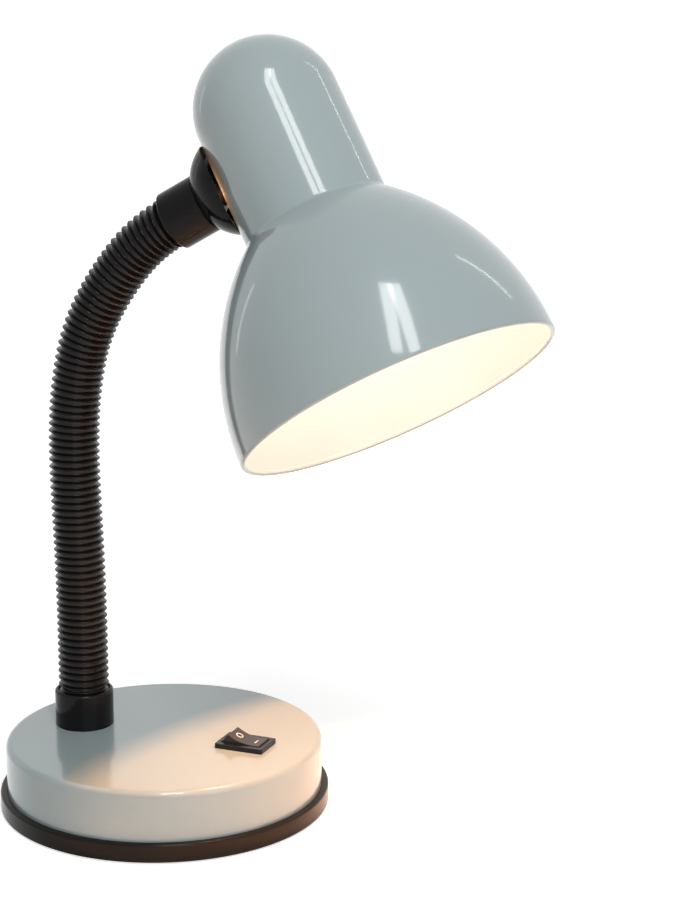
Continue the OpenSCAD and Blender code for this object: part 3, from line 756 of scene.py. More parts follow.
class DESKLAMP_OT_base(bpy.types.Operator):
    """Make the painted shell, the tray, the foam pad and the cord gland"""

    bl_idname = "desk_lamp.base"
    bl_label = "Base"

    def execute(self, context):
        base = lamp().base
        switch = lamp().switch
        foot = upright(x=-lamp().neck.foot_back)
        gland = along_x(upright(x=-base.shell_r, z=base.gland_z))
        attach(self.shell(base, switch, foot, gland), "base", "grey_paint", "base_shell")
        attach(self.tray(base), "base", "tray_black", "base_tray")
        attach(self.pad(base), "base", "foam_pad", "base_pad")
        attach(self.gland(base, gland), "base", "tray_black", "cord_gland")
        return {"FINISHED"}

    def at_screws(self, base):
        """The places of the base screws, on the table."""
        turns = [math.pi / 2 + 2 * math.pi * k / 3 for k in range(3)]
        return [upright(base.screw_ring_r * math.cos(t), base.screw_ring_r * math.sin(t))
                for t in turns]

    def shell(self, base, switch, foot, gland):
        """Pressed shell with its screw posts, and holes for the stud, the switch and the gland."""
        under = base.shell_top - base.shell_wall
        inner_r = base.shell_r - base.shell_wall
        section = rounded([
            (0, base.shell_top), (base.shell_r, base.shell_top, base.shell_round),
            (base.shell_r, base.shell_low, 0.2 * MM), (inner_r, base.shell_low, 0.2 * MM),
            (inner_r, under, base.shell_round - base.shell_wall), (0, under),
        ], steps=10)
        shell = turned("base_shell_skin", section, upright(), stove_paint(), segments=224)
        roof = base.shell_top - base.shell_wall / 2
        screw_top = base.weight_top + base.screw_deep
        for place in self.at_screws(base):
            post = [(base.screw_r, base.weight_top), (base.post_r, base.weight_top),
                    (base.post_r, roof), (0, roof), (0, screw_top), (base.screw_r, screw_top)]
            combine(shell, turned("post", post, place, segments=40), "UNION")
        low, high = under - PAST, base.shell_top + PAST
        hole = [(0, low), (base.stud_hole_r, low), (base.stud_hole_r, high), (0, high)]
        # Turned a little, so that no corner of the hole falls on an edge of the roof.
        off_line = foot @ Matrix.Rotation(math.radians(2), 4, "Z")
        combine(shell, turned("stud_hole", hole, off_line, segments=64), "DIFFERENCE")
        slot_l = switch.body_l + switch.body_play
        slot_w = switch.body_w + switch.body_play
        slot = [rounded_rectangle(slot_l, slot_w, 0.3 * MM, z) for z in (low, high)]
        slot = skinned("slot", slot, upright(x=switch.fwd), True)
        combine(shell, slot, "DIFFERENCE")
        inside = base.shell_wall + 2 * PAST
        bore = [(0, -PAST), (base.gland_r, -PAST), (base.gland_r, inside), (0, inside)]
        combine(shell, turned("gland_hole", bore, gland, segments=64), "DIFFERENCE")
        return soften(shell)

    def tray(self, base):
        """Moulded tray with a lip round the shell, a recess for the pad and its screw holes."""
        seat_r = base.shell_r + base.seat_play
        pad_wall = base.pad_r + base.pad_play
        section = rounded([
            (0, base.pad_t), (pad_wall, base.pad_t), (pad_wall, base.tray_low, 0.4 * MM),
            (base.tray_r, base.tray_low, 0.6 * MM), (base.tray_r, base.tray_top, base.tray_round),
            (seat_r, base.tray_top, 0.25 * MM), (seat_r, base.shell_low), (0, base.shell_low),
        ], steps=8)
        tray = turned("base_tray_moulding", section, upright(), tray_black(), segments=224)
        hole_r = base.screw_r + base.screw_play
        sink_r = base.screw_head_r + base.seat_play
        low, high = base.pad_t - PAST, base.shell_low + PAST
        for place in self.at_screws(base):
            sink = [(0, low), (sink_r, low), (sink_r, base.pad_t),
                    (hole_r, base.pad_t + base.screw_head_h), (hole_r, high), (0, high)]
            combine(tray, turned("sink", sink, place, segments=40), "DIFFERENCE")
        return soften(tray)

    def pad(self, base):
        """Foam pad with softened edges."""
        section = rounded([(0, 0), (base.pad_r, 0, 0.7 * MM),
                           (base.pad_r, base.pad_t, 0.3 * MM), (0, base.pad_t)])
        return soften(turned("foam_pad", section, upright(), foam(), segments=160))

    def gland(self, base, place):
        """Cord gland with a flange that closes the shell's hole."""
        section = rounded([
            (base.gland_bore_r, -base.gland_flange_t, 0.6 * MM),
            (base.gland_flange_r, -base.gland_flange_t, 1.2 * MM),
            (base.gland_flange_r, 0, 0.2 * MM), (base.gland_r, 0),
            (base.gland_r, base.gland_barrel, 0.4 * MM),
            (base.gland_bore_r, base.gland_barrel, 0.3 * MM),
        ])
        return soften(turned("cord_gland_moulding", section, place, tray_black(), segments=72))


class DESKLAMP_OT_switch(bpy.types.Operator):
    """Make the rocker switch: bezel, rocker and its I and O marks"""

    bl_idname = "desk_lamp.switch"
    bl_label = "Switch"

    def execute(self, context):
        switch = lamp().switch
        top = lamp().base.shell_top
        pivot_z = top - switch.pivot_drop
        tipped = upright(x=switch.fwd, z=pivot_z) @ Matrix.Rotation(switch.tip, 4, "Y")
        attach(self.bezel(switch, top, pivot_z), "base", "gloss_black", "switch_housing")
        attach(self.rocker(switch, tipped), "rocker", "rocker_black", "rocker")
        marks = self.marks(switch, tipped)
        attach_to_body(marks, "rocker")
        return {"FINISHED"}

    def bezel(self, switch, top, pivot_z):
        """Bezel and body in one moulding, lofted from its floor up and down into its mouth."""
        floor = pivot_z - switch.mouth_l / 2
        low = floor - switch.floor_t
        face = top + switch.bezel_t
        edge = 0.35 * MM
        lip = 0.2 * MM
        body_round = 0.4 * MM
        mouth_round = 0.3 * MM
        loops = [rounded_rectangle(switch.body_l, switch.body_w, body_round, z)
                 for z in (low, top)]
        loops.append(rounded_rectangle(switch.bezel_l, switch.bezel_w, switch.bezel_round, top))
        for inset, z in arc((edge, face - edge), edge, 180, 90, 4):
            loops.append(rounded_rectangle(switch.bezel_l - 2 * inset, switch.bezel_w - 2 * inset,
                                           switch.bezel_round - inset / 2, z))
        for outset, z in arc((lip, face - lip), lip, 90, 180, 3):
            loops.append(rounded_rectangle(switch.mouth_l + 2 * outset, switch.mouth_w + 2 * outset,
                                           mouth_round + outset, z))
        loops.append(rounded_rectangle(switch.mouth_l, switch.mouth_w, mouth_round, floor))
        bezel = skinned("switch_bezel", loops, upright(x=switch.fwd), True, bezel_black())
        return soften(bezel, sharp=40)

    def hollow(self, switch, x):
        """Height of the rocker's hollow top over the pivot."""
        return switch.dent_z + switch.dent_r - math.sqrt(switch.dent_r ** 2 - x * x)

    def rocker(self, switch, place):
        """Rocker with a hollow top, ends on a drum about the pivot and a flat underside."""
        apart = switch.dent_z + switch.dent_r
        corner_z = (apart ** 2 + switch.drum_r ** 2 - switch.dent_r ** 2) / (2 * apart)
        corner_x = math.sqrt(switch.drum_r ** 2 - corner_z ** 2)
        cut_x = math.sqrt(switch.drum_r ** 2 - switch.drum_cut ** 2)
        upper = math.degrees(math.atan2(corner_z, corner_x))
        lower = math.degrees(math.atan2(-switch.drum_cut, cut_x))
        steps = 20
        outline = [(corner_x * (1 - 2 * k / steps), 0) for k in range(steps + 1)]
        outline = [(x, self.hollow(switch, x)) for x, z in outline]
        outline += arc((0, 0), switch.drum_r, 180 - upper, 180 - lower, 8)[1:]
        outline += arc((0, 0), switch.drum_r, lower, upper, 8)[:-1]
        half = switch.rocker_w / 2
        loops = [[(x, y, z) for x, z in outline] for y in (-half, half)]
        rocker = skinned("switch_rocker_cap", loops, place, True, rocker_black())
        break_edges(rocker, 0.22 * MM, segments=3)
        pin_l = switch.body_w / 2 - switch.trunnion_play
        pin = [(0, -pin_l), (switch.trunnion_r, -pin_l), (switch.trunnion_r, pin_l), (0, pin_l)]
        pins = turned("pins", pin, place @ Matrix.Rotation(math.pi / 2, 4, "X"), segments=40)
        combine(rocker, pins, "UNION")
        return soften(rocker)

    def marks(self, switch, place):
        """White O and I, printed on the hollow as thin flat shapes."""
        def ink(points, lift):
            return [(x, y, self.hollow(switch, x) + lift) for x, y in points]

        # Sixty points, so the last is one step of six degrees short of the first.
        ring = [
            arc((-switch.off_x, 0), radius, 0, 354, 59)
            for radius in (switch.off_r - switch.line_w, switch.off_r)
        ]
        loops = [ink(ring[0], 0), ink(ring[0], switch.ink_t), ink(ring[1], switch.ink_t),
                 ink(ring[1], 0)]
        marks = skinned("switch_marks", loops, place, False, print_white())
        bar = [(switch.on_x + x * switch.line_w / 2, y * switch.on_l / 2)
               for x, y in ((-1, -1), (-1, 1), (0, 1), (1, 1), (1, -1), (0, -1))]
        bar = skinned("bar", [ink(bar, 0), ink(bar, switch.ink_t)], place, True)
        combine(marks, bar, "UNION")
        return soften(marks)


class DESKLAMP_OT_neck(bpy.types.Operator):
    """Make the collar at the foot and the ribbed cover along the neck's rest line"""

    bl_idname = "desk_lamp.neck"
    bl_label = "Neck"

    def execute(self, context):
        neck = lamp().neck
        attach(self.collar(neck, lamp().base.shell_top), "base", "gloss_black", "neck_collar")
        bodies, hinges = neck_chain()
        line = CentreLine(hinges, neck.link_l)
        pitch = neck.link_l / neck.ribs
        tree = self.rib_tree()
        for i, (below, above) in enumerate(zip(bodies, bodies[1:])):
            start = (i - 0.5) * neck.link_l if i else -pitch
            end = min((i + 0.5) * neck.link_l, line.total + pitch)
            steps = round((end - start) / pitch) * neck.rings
            path = [line.at(start + (end - start) * k / steps) for k in range(steps + 1)]
            cover = self.cover(neck, tree, path, f"ribbed_cover_{i + 1}")
            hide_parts(f"neck_cover_{max(i, 1)}")
            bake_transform(cover)
        return {"FINISHED"}

    def collar(self, neck, foot_z):
        """Turned collar with a mouth that the cover's first rib sits in."""
        top = foot_z + neck.collar_h
        mouth_r = neck.rib_r + neck.mouth_play
        section = rounded([
            (neck.hose_r, foot_z), (neck.collar_r, foot_z, 0.25 * MM),
            (neck.collar_r, top, neck.collar_round), (mouth_r, top, 0.25 * MM),
            (mouth_r, top - neck.mouth_deep), (neck.hose_r, top - neck.mouth_deep),
        ], steps=8)
        place = upright(x=-neck.foot_back)
        return soften(turned("neck_collar_moulding", section, place, gloss_black()))

    def rib_tree(self):
        """A node tree that turns a path into a ribbed tube, half a pitch of groove at each end."""
        tree = bpy.data.node_groups.new("ribbed_tube", "GeometryNodeTree")
        face = tree.interface
        face.new_socket("Geometry", in_out="INPUT", socket_type="NodeSocketGeometry")
        for name in ("Rib Radius", "Groove Radius", "Pitch", "Rib Width"):
            face.new_socket(name, in_out="INPUT", socket_type="NodeSocketFloat")
        face.new_socket("Sides", in_out="INPUT", socket_type="NodeSocketInt")
        face.new_socket("Material", in_out="INPUT", socket_type="NodeSocketMaterial")
        face.new_socket("Geometry", in_out="OUTPUT", socket_type="NodeSocketGeometry")
        given = add_node(tree, "NodeGroupInput").outputs
        path = add_node(tree, "GeometryNodeMeshToCurve", {"Mesh": given["Geometry"]})
        along = add_node(tree, "GeometryNodeSplineParameter").outputs["Length"]
        phase = add_node(tree, "ShaderNodeMath", {0: along, 1: given["Pitch"]}, operation="MODULO")
        middle = add_node(tree, "ShaderNodeMath", {0: given["Pitch"], 1: 0.5}, operation="MULTIPLY")
        off = add_node(tree, "ShaderNodeMath", {0: phase.outputs[0], 1: middle.outputs[0]},
                       operation="SUBTRACT")
        off = add_node(tree, "ShaderNodeMath", {0: off.outputs[0]}, operation="ABSOLUTE")
        reach = add_node(tree, "ShaderNodeMath", {0: given["Rib Width"], 1: 0.5},
                         operation="MULTIPLY")
        radius = add_node(tree, "ShaderNodeMapRange",
                          {0: off.outputs[0], 1: 0.0, 2: reach.outputs[0],
                           3: given["Rib Radius"], 4: given["Groove Radius"]},
                          interpolation_type="SMOOTHSTEP")
        ring = add_node(tree, "GeometryNodeCurvePrimitiveCircle",
                        {"Resolution": given["Sides"], "Radius": 1.0})
        tube = add_node(tree, "GeometryNodeCurveToMesh",
                        {"Curve": path.outputs["Curve"], "Profile Curve": ring.outputs["Curve"],
                         "Scale": radius.outputs["Result"]})
        smooth = add_node(tree, "GeometryNodeSetShadeSmooth", {"Geometry": tube.outputs["Mesh"]})
        real = add_node(tree, "GeometryNodeRealizeInstances",
                        {"Geometry": smooth.outputs["Geometry"]})
        painted = add_node(tree, "GeometryNodeSetMaterial",
                           {"Geometry": real.outputs["Geometry"], "Material": given["Material"]})
        add_node(tree, "NodeGroupOutput", {"Geometry": painted.outputs["Geometry"]})
        return tree

    def cover(self, neck, tree, path, name):
        """One stretch of ribbed cover along a path."""
        mesh = bpy.data.meshes.new(name)
        mesh.from_pydata(path, [(k, k + 1) for k in range(len(path) - 1)], [])
        cover = add_piece(name, mesh)
        ribs = cover.modifiers.new("ribs", "NODES")
        ribs.node_group = tree
        values = {"Rib Radius": neck.rib_r, "Groove Radius": neck.groove_r,
                  "Pitch": neck.link_l / neck.ribs, "Rib Width": neck.rib_w,
                  "Sides": neck.sides, "Material": neck_black()}
        for item in tree.interface.items_tree:
            if item.in_out == "INPUT" and item.name in values:
                ribs[item.identifier] = values[item.name]
        settle(cover)
        self.thicken(cover, neck.cover_t)
        return cover

    def thicken(self, cover, wall):
        """Faces outwards, then a wall of even thickness inwards."""
        bm = bmesh.new()
        bm.from_mesh(cover.data)
        bmesh.ops.recalc_face_normals(bm, faces=bm.faces)
        bm.to_mesh(cover.data)
        bm.free()
        solid = cover.modifiers.new("wall", "SOLIDIFY")
        solid.thickness = wall
        solid.offset = -1
        settle(cover)
        cover.data.set_sharp_from_angle(angle=math.radians(60))


class DESKLAMP_OT_head(bpy.types.Operator):
    """Make the smooth sleeve and the saddle-shaped dish"""

    bl_idname = "desk_lamp.head"
    bl_label = "Sleeve and dish"

    def execute(self, context):
        head = lamp().head
        place = head_place(head)
        sleeve = self.sleeve(head, lamp().neck, along_x(place))
        attach(sleeve, "head", "sleeve_black", "head_sleeve")
        attach(self.dish(head, place), "head", "sleeve_black", "head_dish")
        return {"FINISHED"}

    def sleeve(self, head, neck, place):
        """Sleeve with a mouth for the cover's last rib, a bore for the hose and a web."""
        mouth_r = neck.rib_r + neck.mouth_play
        web = -head.web_x - head.web_t
        section = rounded([
            (head.sleeve_r, -head.mouth_x, head.sleeve_round),
            (head.sleeve_r, -head.web_x, 0.45 * MM), (head.tube_r, -head.web_x),
            (head.tube_r, web), (neck.hose_r, web), (neck.hose_r, neck.mouth_deep - head.mouth_x),
            (mouth_r, neck.mouth_deep - head.mouth_x), (mouth_r, -head.mouth_x, 0.25 * MM),
        ], steps=6)
        return soften(turned("head_sleeve_moulding", section, place, sleeve_black()))

    def rim_angle(self, head, r, a):
        """Angle on a ball of radius r at which the seat cuts it in the plane at turn a, found
        by halving a span that holds it."""
        low, high = math.radians(20), math.radians(110)
        for _ in range(30):
            middle = (low + high) / 2
            x = -head.dish_x - r * math.cos(middle) + head.rim_x - head.seat_r
            y = r * math.sin(middle) * math.sin(a)
            if math.hypot(x, y) > head.seat_r:
                low = middle
            else:
                high = middle
        return middle

    def dish_outline(self, head, a, steps=18):
        """The dish's wall in the plane at turn a, as (radius, x) points."""
        inner_r = head.dish_r - head.dish_wall
        out = (math.asin(head.sleeve_r / head.dish_r), self.rim_angle(head, head.dish_r, a))
        inn = (math.acos((head.web_x - head.dish_x - head.dish_wall) / inner_r),
               self.rim_angle(head, inner_r, a))
        outer = [out[0] + (out[1] - out[0]) * k / steps for k in range(steps + 1)]
        inner = [inn[1] + (inn[0] - inn[1]) * k / steps for k in range(steps + 1)]
        points = [(head.dish_hole_r, -head.web_x)]
        points += [(head.dish_r * math.sin(t), -head.dish_x - head.dish_r * math.cos(t))
                   for t in outer]
        points += [(inner_r * math.sin(t), -head.dish_x - inner_r * math.cos(t)) for t in inner]
        points.append((head.dish_hole_r, -head.web_x + head.dish_wall))
        return points

    def dish(self, head, place, turns=144):
        """Round dish whose rim is cut to a hollow seat, lofted about the sleeve's axis."""
        loops = []
        for j in range(turns):
            a = 2 * math.pi * j / turns
            loops.append([(x, r * math.sin(a), r * math.cos(a))
                          for r, x in self.dish_outline(head, a)])
        dish = skinned("head_dish_moulding", loops, place, False, sleeve_black())
        break_edges(dish, 0.3 * MM, sharp=40)
        return soften(dish)


class DESKLAMP_OT_shade(bpy.types.Operator):
    """Make the spun shade, painted outside and white inside"""

    bl_idname = "desk_lamp.shade"
    bl_label = "Shade"

    def execute(self, context):
        head = lamp().head
        shade = lamp().shade
        attach(self.shade(shade, head_place(head)), "head", "grey_paint", "shade")
        return {"FINISHED"}

    def skin(self, shade, depth, from_z):
        """Half section of one skin, from the dome's top down to the rim."""
        rim_z = shade.seat_drop - shade.shade_l
        neck_z = shade.seat_drop - shade.cap_l
        rise = neck_z - rim_z
        flare = shade.rim_r - shade.cap_r
        bowl_r = (rise ** 2 + flare ** 2) / (2 * flare)
        middle = (shade.rim_r - bowl_r, rim_z)
        neck_r = shade.cap_r - depth
        top = math.degrees(math.acos((neck_r - middle[0]) / (bowl_r - depth)))
        end = math.degrees(math.asin((from_z - rim_z) / (bowl_r - depth)))
        dome = arc((0, shade.seat_drop), neck_r, 90, 0, 28)
        dome[0] = (0, shade.seat_drop + neck_r)
        bowl = arc(middle, bowl_r - depth, top, end, 44)
        crease = (*bowl[0], shade.crease_r)
        return dome + [crease] + bowl[1:]

    def shade(self, shade, place):
        """Outer skin, rolled hem and inner skin in one closed section, with the port cut in."""
        rim_z = shade.seat_drop - shade.shade_l
        hem = (shade.rim_r - shade.hem_r, rim_z)
        join = math.degrees(math.acos((shade.hem_r - shade.wall) / shade.hem_r))
        join_z = rim_z + shade.hem_r * math.sin(math.radians(join))
        outer = self.skin(shade, 0, rim_z)
        rolled = arc(hem, shade.hem_r, 0, join - 360, 20)[1:]
        inner = self.skin(shade, shade.wall, join_z)[:-1][::-1]
        section = rounded(outer + rolled + inner, steps=4)
        made = turned("shade_spinning", section, place, stove_paint(), segments=224)
        made.data.materials.append(white_enamel())
        self.paint_inside(made, place, shade)
        outside = -shade.cap_r - PAST
        inside = outside + shade.cap_r / 2
        port = [(0, outside), (shade.port_r, outside), (shade.port_r, inside), (0, inside)]
        combine(made, turned("port", port, along_x(place), segments=96), "DIFFERENCE")
        return soften(made, sharp=38)

    def paint_inside(self, made, place, shade):
        """White enamel on the faces that look at the shade's axis, down into the hem's curl."""
        back = place.inverted()
        turn_back = back.to_3x3()
        dome = Vector((0, 0, shade.seat_drop))
        curl = 0.6 * shade.hem_r
        edge_z = shade.seat_drop - shade.shade_l - curl
        for face in made.data.polygons:
            here = back @ face.center
            if here.z > shade.seat_drop:
                outwards = here - dome
            else:
                outwards = Vector((here.x, here.y, 0))
            if (turn_back @ face.normal).dot(outwards) < 0 and here.z > edge_z:
                face.material_index = 1


class DESKLAMP_OT_lampholder(bpy.types.Operator):
    """Make the lampholder's cap and skirt and the lit bulb"""

    bl_idname = "desk_lamp.lampholder"
    bl_label = "Lampholder and bulb"

    def execute(self, context):
        holder = lamp().holder
        place = head_place(lamp().head)
        attach(self.cap(holder, place), "head", "holder_ivory", "lampholder_cap")
        attach(self.skirt(holder, place), "head", "holder_ivory", "lampholder_skirt")
        glass = self.glass(holder, place)
        glass.visible_shadow = False  # the spill's light starts inside the glass
        attach(glass, "head", "opal_glass", "bulb_glass")
        return {"FINISHED"}

    def cap(self, holder, place):
        """Cap with a hole for the tube, a channel for the lead and a recess."""
        recess_r = holder.skirt_r - holder.skirt_wall
        recess_z = holder.skirt_top + holder.recess
        section = rounded([
            (holder.tube_r, holder.cap_top), (holder.cap_r, holder.cap_top, holder.cap_round),
            (holder.cap_r, holder.skirt_top, 0.3 * MM), (recess_r, holder.skirt_top),
            (recess_r, recess_z), (holder.lead_r, recess_z), (holder.lead_r, holder.tube_low),
            (holder.tube_r, holder.tube_low),
        ], steps=8)
        return soften(turned("lampholder_cap_moulding", section, place, holder_ivory(),
                             segments=96))

    def skirt(self, holder, place):
        """Skirt with a lip, bored for the socket shell."""
        low = holder.skirt_top - holder.skirt_l
        lip_top = low + holder.skirt_lip_h
        lip_r = holder.skirt_r + holder.skirt_lip
        section = rounded([
            (0, holder.skirt_top), (holder.skirt_r, holder.skirt_top, 0.3 * MM),
            (holder.skirt_r, lip_top), (lip_r, lip_top, 0.3 * MM), (lip_r, low, 0.5 * MM),
            (holder.socket_r, low, 0.4 * MM), (holder.socket_r, low + holder.socket_l),
            (0, low + holder.socket_l),
        ], steps=6)
        return soften(turned("lampholder_skirt_moulding", section, place, holder_ivory(),
                             segments=96))

    def glass(self, holder, place):
        """Opal bulb: a ball that runs into a narrow throat, as a thin closed shell."""
        low = holder.skirt_top - holder.skirt_l
        middle = (0, low - holder.glass_l + holder.bulb_r)
        throat_low = low - holder.throat_out
        throat_top = throat_low + holder.throat_l
        shoulder = math.degrees(holder.shoulder)
        skins = []
        for depth in (0, holder.glass_t):
            ball = arc(middle, holder.bulb_r - depth, -90, shoulder, 40)
            ball[0] = (0, middle[1] - holder.bulb_r + depth)
            throat_r = holder.throat_r - depth
            skins.append(ball + [(throat_r, throat_low, 3 * MM), (throat_r, throat_top)])
        section = rounded(skins[0] + skins[1][::-1], steps=6)
        return soften(turned("bulb_glass_blown", section, place, opal_glass(), segments=128))


class DESKLAMP_OT_hardware(bpy.types.Operator):
    """Give the remaining CAD parts their finishes"""

    bl_idname = "desk_lamp.hardware"
    bl_label = "Inner hardware"

    def execute(self, context):
        for material, nodes in NODE_FINISHES.items():
            for name in nodes:
                mesh = frame["nodes"][name].data
                mesh.materials.clear()
                mesh.materials.append(material())
        return {"FINISHED"}


# Each soft light's aim above the table, its azimuth and elevation in degrees with its distance,
# its width and height, and its watts. The two panes stand side by side, as a window's do.
SOFT_LIGHTS = {
    "key_pane_1": (0.12, (-53.3, 57, 1.1), (0.125, 0.62), 2.5),
    "key_pane_2": (0.12, (-66.7, 57, 1.1), (0.125, 0.62), 2.5),
    "front_fill": (0.1, (-45, 14, 1.5), (1.5, 1.2), 6),
    "back_strip": (0.22, (54, 38, 1.1), (0.012, 0.45), 0.22),
    "side_strip": (0.22, (168, 8, 1.1), (0.03, 0.4), 0.1),
}


class DESKLAMP_OT_studio(bpy.types.Operator):
    """Make the pale floor, the soft lights, the bulb's spill and the camera"""

    bl_idname = "desk_lamp.studio"
    bl_label = "Studio"

    def execute(self, context):
        studio = lamp().studio
        context.scene.view_settings.view_transform = "Standard"
        self.world(context.scene, studio)
        self.floor(studio)
        self.camera(context.scene, studio)
        for name, (height, seen_at, spread, power) in SOFT_LIGHTS.items():
            self.softbox(name, height, seen_at, spread, power)
        self.spill(lamp())
        return {"FINISHED"}

    def world(self, scene, studio):
        """White to the camera and in reflections, and softer as a light."""
        world = bpy.data.worlds.new("studio")
        world.use_nodes = True
        tree = world.node_tree
        tree.nodes.clear()
        seen = self.seen(tree)
        soft = add_node(tree, "ShaderNodeBackground",
                        {"Color": (1, 1, 1, 1), "Strength": studio.ambient})
        white = add_node(tree, "ShaderNodeBackground", {"Color": (1, 1, 1, 1), "Strength": 1.0})
        mix = add_node(tree, "ShaderNodeMixShader",
                       {0: seen, 1: soft.outputs[0], 2: white.outputs[0]})
        add_node(tree, "ShaderNodeOutputWorld", {"Surface": mix.outputs[0]})
        scene.world = world

    def seen(self, tree):
        """One for rays from the camera, off gloss and through glass."""
        rays = add_node(tree, "ShaderNodeLightPath").outputs
        either = add_node(tree, "ShaderNodeMath",
                          {0: rays["Is Camera Ray"], 1: rays["Is Glossy Ray"]}, operation="MAXIMUM")
        return add_node(tree, "ShaderNodeMath",
                        {0: either.outputs[0], 1: rays["Is Transmission Ray"]},
                        operation="MAXIMUM").outputs[0]

    def floor(self, studio):
        """Pale floor that keeps a soft shadow by the lamp and runs into the white further out."""
        r = studio.floor_r
        mesh = bpy.data.meshes.new("floor")
        mesh.from_pydata([(-r, -r, 0), (r, -r, 0), (r, r, 0), (-r, r, 0)], [], [(0, 1, 2, 3)])
        material = bpy.data.materials.new("floor_paper")
        material.use_nodes = True
        tree = material.node_tree
        tree.nodes.clear()
        coords = add_node(tree, "ShaderNodeTexCoord").outputs["Object"]
        away = add_node(tree, "ShaderNodeVectorMath", {0: coords}, operation="LENGTH")
        near, far = 0.08, 0.4
        dim, bright = 0.7, 0.95
        level = add_node(tree, "ShaderNodeMapRange",
                         {"Value": away.outputs["Value"], "From Min": near, "From Max": far,
                          "To Min": dim, "To Max": bright}, interpolation_type="SMOOTHSTEP")
        paper = add_node(tree, "ShaderNodeBsdfDiffuse", {"Color": (0.8, 0.8, 0.8, 1)})
        lift = add_node(tree, "ShaderNodeMath", {0: self.seen(tree), 1: level.outputs["Result"]},
                        operation="MULTIPLY")
        glow = add_node(tree, "ShaderNodeEmission", {"Strength": lift.outputs[0]})
        both = add_node(tree, "ShaderNodeAddShader", {0: paper.outputs[0], 1: glow.outputs[0]})
        add_node(tree, "ShaderNodeOutputMaterial", {"Surface": both.outputs[0]})
        add_piece("floor", mesh, material)

    def camera(self, scene, studio):
        """Camera that looks at the lamp from the front, a little to the right."""
        data = bpy.data.cameras.new("camera")
        data.lens = studio.lens
        data.sensor_width = 36
        camera = bpy.data.objects.new("camera", data)
        scene.collection.objects.link(camera)
        self.aim(camera, Vector(studio.eye), Vector(studio.target))
        scene.camera = camera

    def aim(self, thing, place, target):
        """Puts a camera or a light at a place, looking at a target."""
        thing.location = place
        thing.rotation_euler = (target - place).to_track_quat("-Z", "Y").to_euler()

    def softbox(self, name, height, seen_at, spread, power):
        """Rectangular soft light at an azimuth, an elevation and a distance from the lamp."""
        azimuth, elevation, distance = seen_at
        azimuth = math.radians(azimuth)
        elevation = math.radians(elevation)
        away = Vector((math.cos(elevation) * math.cos(azimuth),
                       math.cos(elevation) * math.sin(azimuth), math.sin(elevation)))
        data = bpy.data.lights.new(name, "AREA")
        data.shape = "RECTANGLE"
        data.size, data.size_y = spread
        data.energy = power
        light = bpy.data.objects.new(name, data)
        bpy.context.scene.collection.objects.link(light)
        middle = Vector((lamp().studio.lit_x, 0, height))
        self.aim(light, middle + away * distance, middle)

    def warm_light(self, name, kind, power, start, target, body):
        """A light in the spill's colour that rides on a body and isn't seen itself."""
        data = bpy.data.lights.new(name, kind)
        data.energy = power
        data.color = lamp().spill.colour
        light = bpy.data.objects.new(name, data)
        bpy.context.scene.collection.objects.link(light)
        self.aim(light, start, target)
        light.visible_camera = False
        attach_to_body(light, body)
        return light

    def spill(self, settings):
        """Warm light that leaves the shade downwards, shines through the slit behind the dish,
        and comes back up off the table."""
        spill = settings.spill
        holder = settings.holder
        place = head_place(settings.head)
        tip = holder.skirt_top - holder.skirt_l - holder.glass_l
        start = place @ Vector((0, 0, tip + spill.lift))
        down = self.warm_light("spill_down", "SPOT", spill.down, start, Vector(spill.aim), "head")
        down.data.spot_size = spill.spread
        down.data.spot_blend = 0.2
        down.data.shadow_soft_size = 6 * MM
        self.receivers(down, ["shade_spinning"], "EXCLUDE")
        start = place @ Vector(spill.slit_place)
        slit = self.warm_light("spill_slit", "POINT", spill.slit, start, Vector(), "head")
        slit.data.shadow_soft_size = 1.5 * MM
        slit.visible_glossy = False
        pool = Vector(spill.pool)
        back = self.warm_light("spill_back", "AREA", spill.back, pool, pool + UP, "base")
        table = self.warm_light("spill_table", "AREA", spill.table, pool, pool + UP, "base")
        back.data.size = spill.pool_side
        table.data.size = spill.pool_side
        covers = [o.name for o in bpy.data.objects if o.name.startswith("ribbed_cover")]
        self.receivers(table, ["base_tray_moulding", "neck_collar_moulding",
                               "head_sleeve_moulding", *sorted(covers)], "INCLUDE")

    def receivers(self, light, names, state):
        """Keeps a light to the named pieces, or off them. All pieces still cast its shadow."""
        listed = bpy.data.collections.new(light.name + "_receivers")
        for name in names:
            listed.objects.link(bpy.data.objects[name])
        for entry in listed.collection_objects:
            entry.light_linking.link_state = state
        light.light_linking.receiver_collection = listed


# -------------------------------------------------------------- add-on

class DESKLAMP_PT_panel(bpy.types.Panel):
    """Lists the desk lamp's pieces"""

    bl_idname = "DESKLAMP_PT_panel"
    bl_label = "Desk lamp"
    bl_space_type = "VIEW_3D"
    bl_region_type = "UI"
    bl_category = "Desk lamp"

    def draw(self, context):
        for step in STEPS:
            self.layout.operator(step.bl_idname)


STEPS = [DESKLAMP_OT_base, DESKLAMP_OT_switch, DESKLAMP_OT_neck, DESKLAMP_OT_head,
         DESKLAMP_OT_shade, DESKLAMP_OT_lampholder, DESKLAMP_OT_hardware, DESKLAMP_OT_studio]
SETTINGS = [BaseSettings, SwitchSettings, NeckSettings, HeadSettings, ShadeSettings,
            HolderSettings, FinishSettings, SpillSettings, StudioSettings, DeskLampSettings]
CLASSES = SETTINGS + STEPS + [DESKLAMP_PT_panel]


def register():
    for cls in CLASSES:
        bpy.utils.register_class(cls)
    bpy.types.Scene.desk_lamp = PointerProperty(type=DeskLampSettings)


def unregister():
    del bpy.types.Scene.desk_lamp
    for cls in reversed(CLASSES):
        bpy.utils.unregister_class(cls)


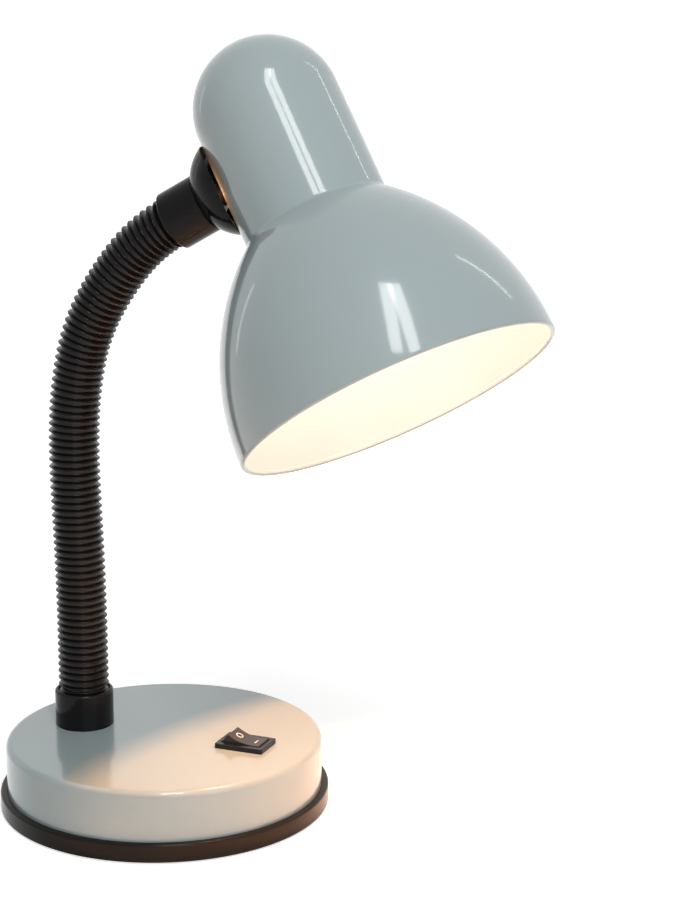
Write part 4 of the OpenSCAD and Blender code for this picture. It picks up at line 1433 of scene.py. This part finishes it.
def main():
    """Builds the whole lamp and its studio."""
    register()
    bpy.ops.desk_lamp.base()
    bpy.ops.desk_lamp.switch()
    bpy.ops.desk_lamp.neck()
    bpy.ops.desk_lamp.head()
    bpy.ops.desk_lamp.shade()
    bpy.ops.desk_lamp.lampholder()
    bpy.ops.desk_lamp.hardware()
    bpy.ops.desk_lamp.studio()


if __name__ == "__main__":
    main()
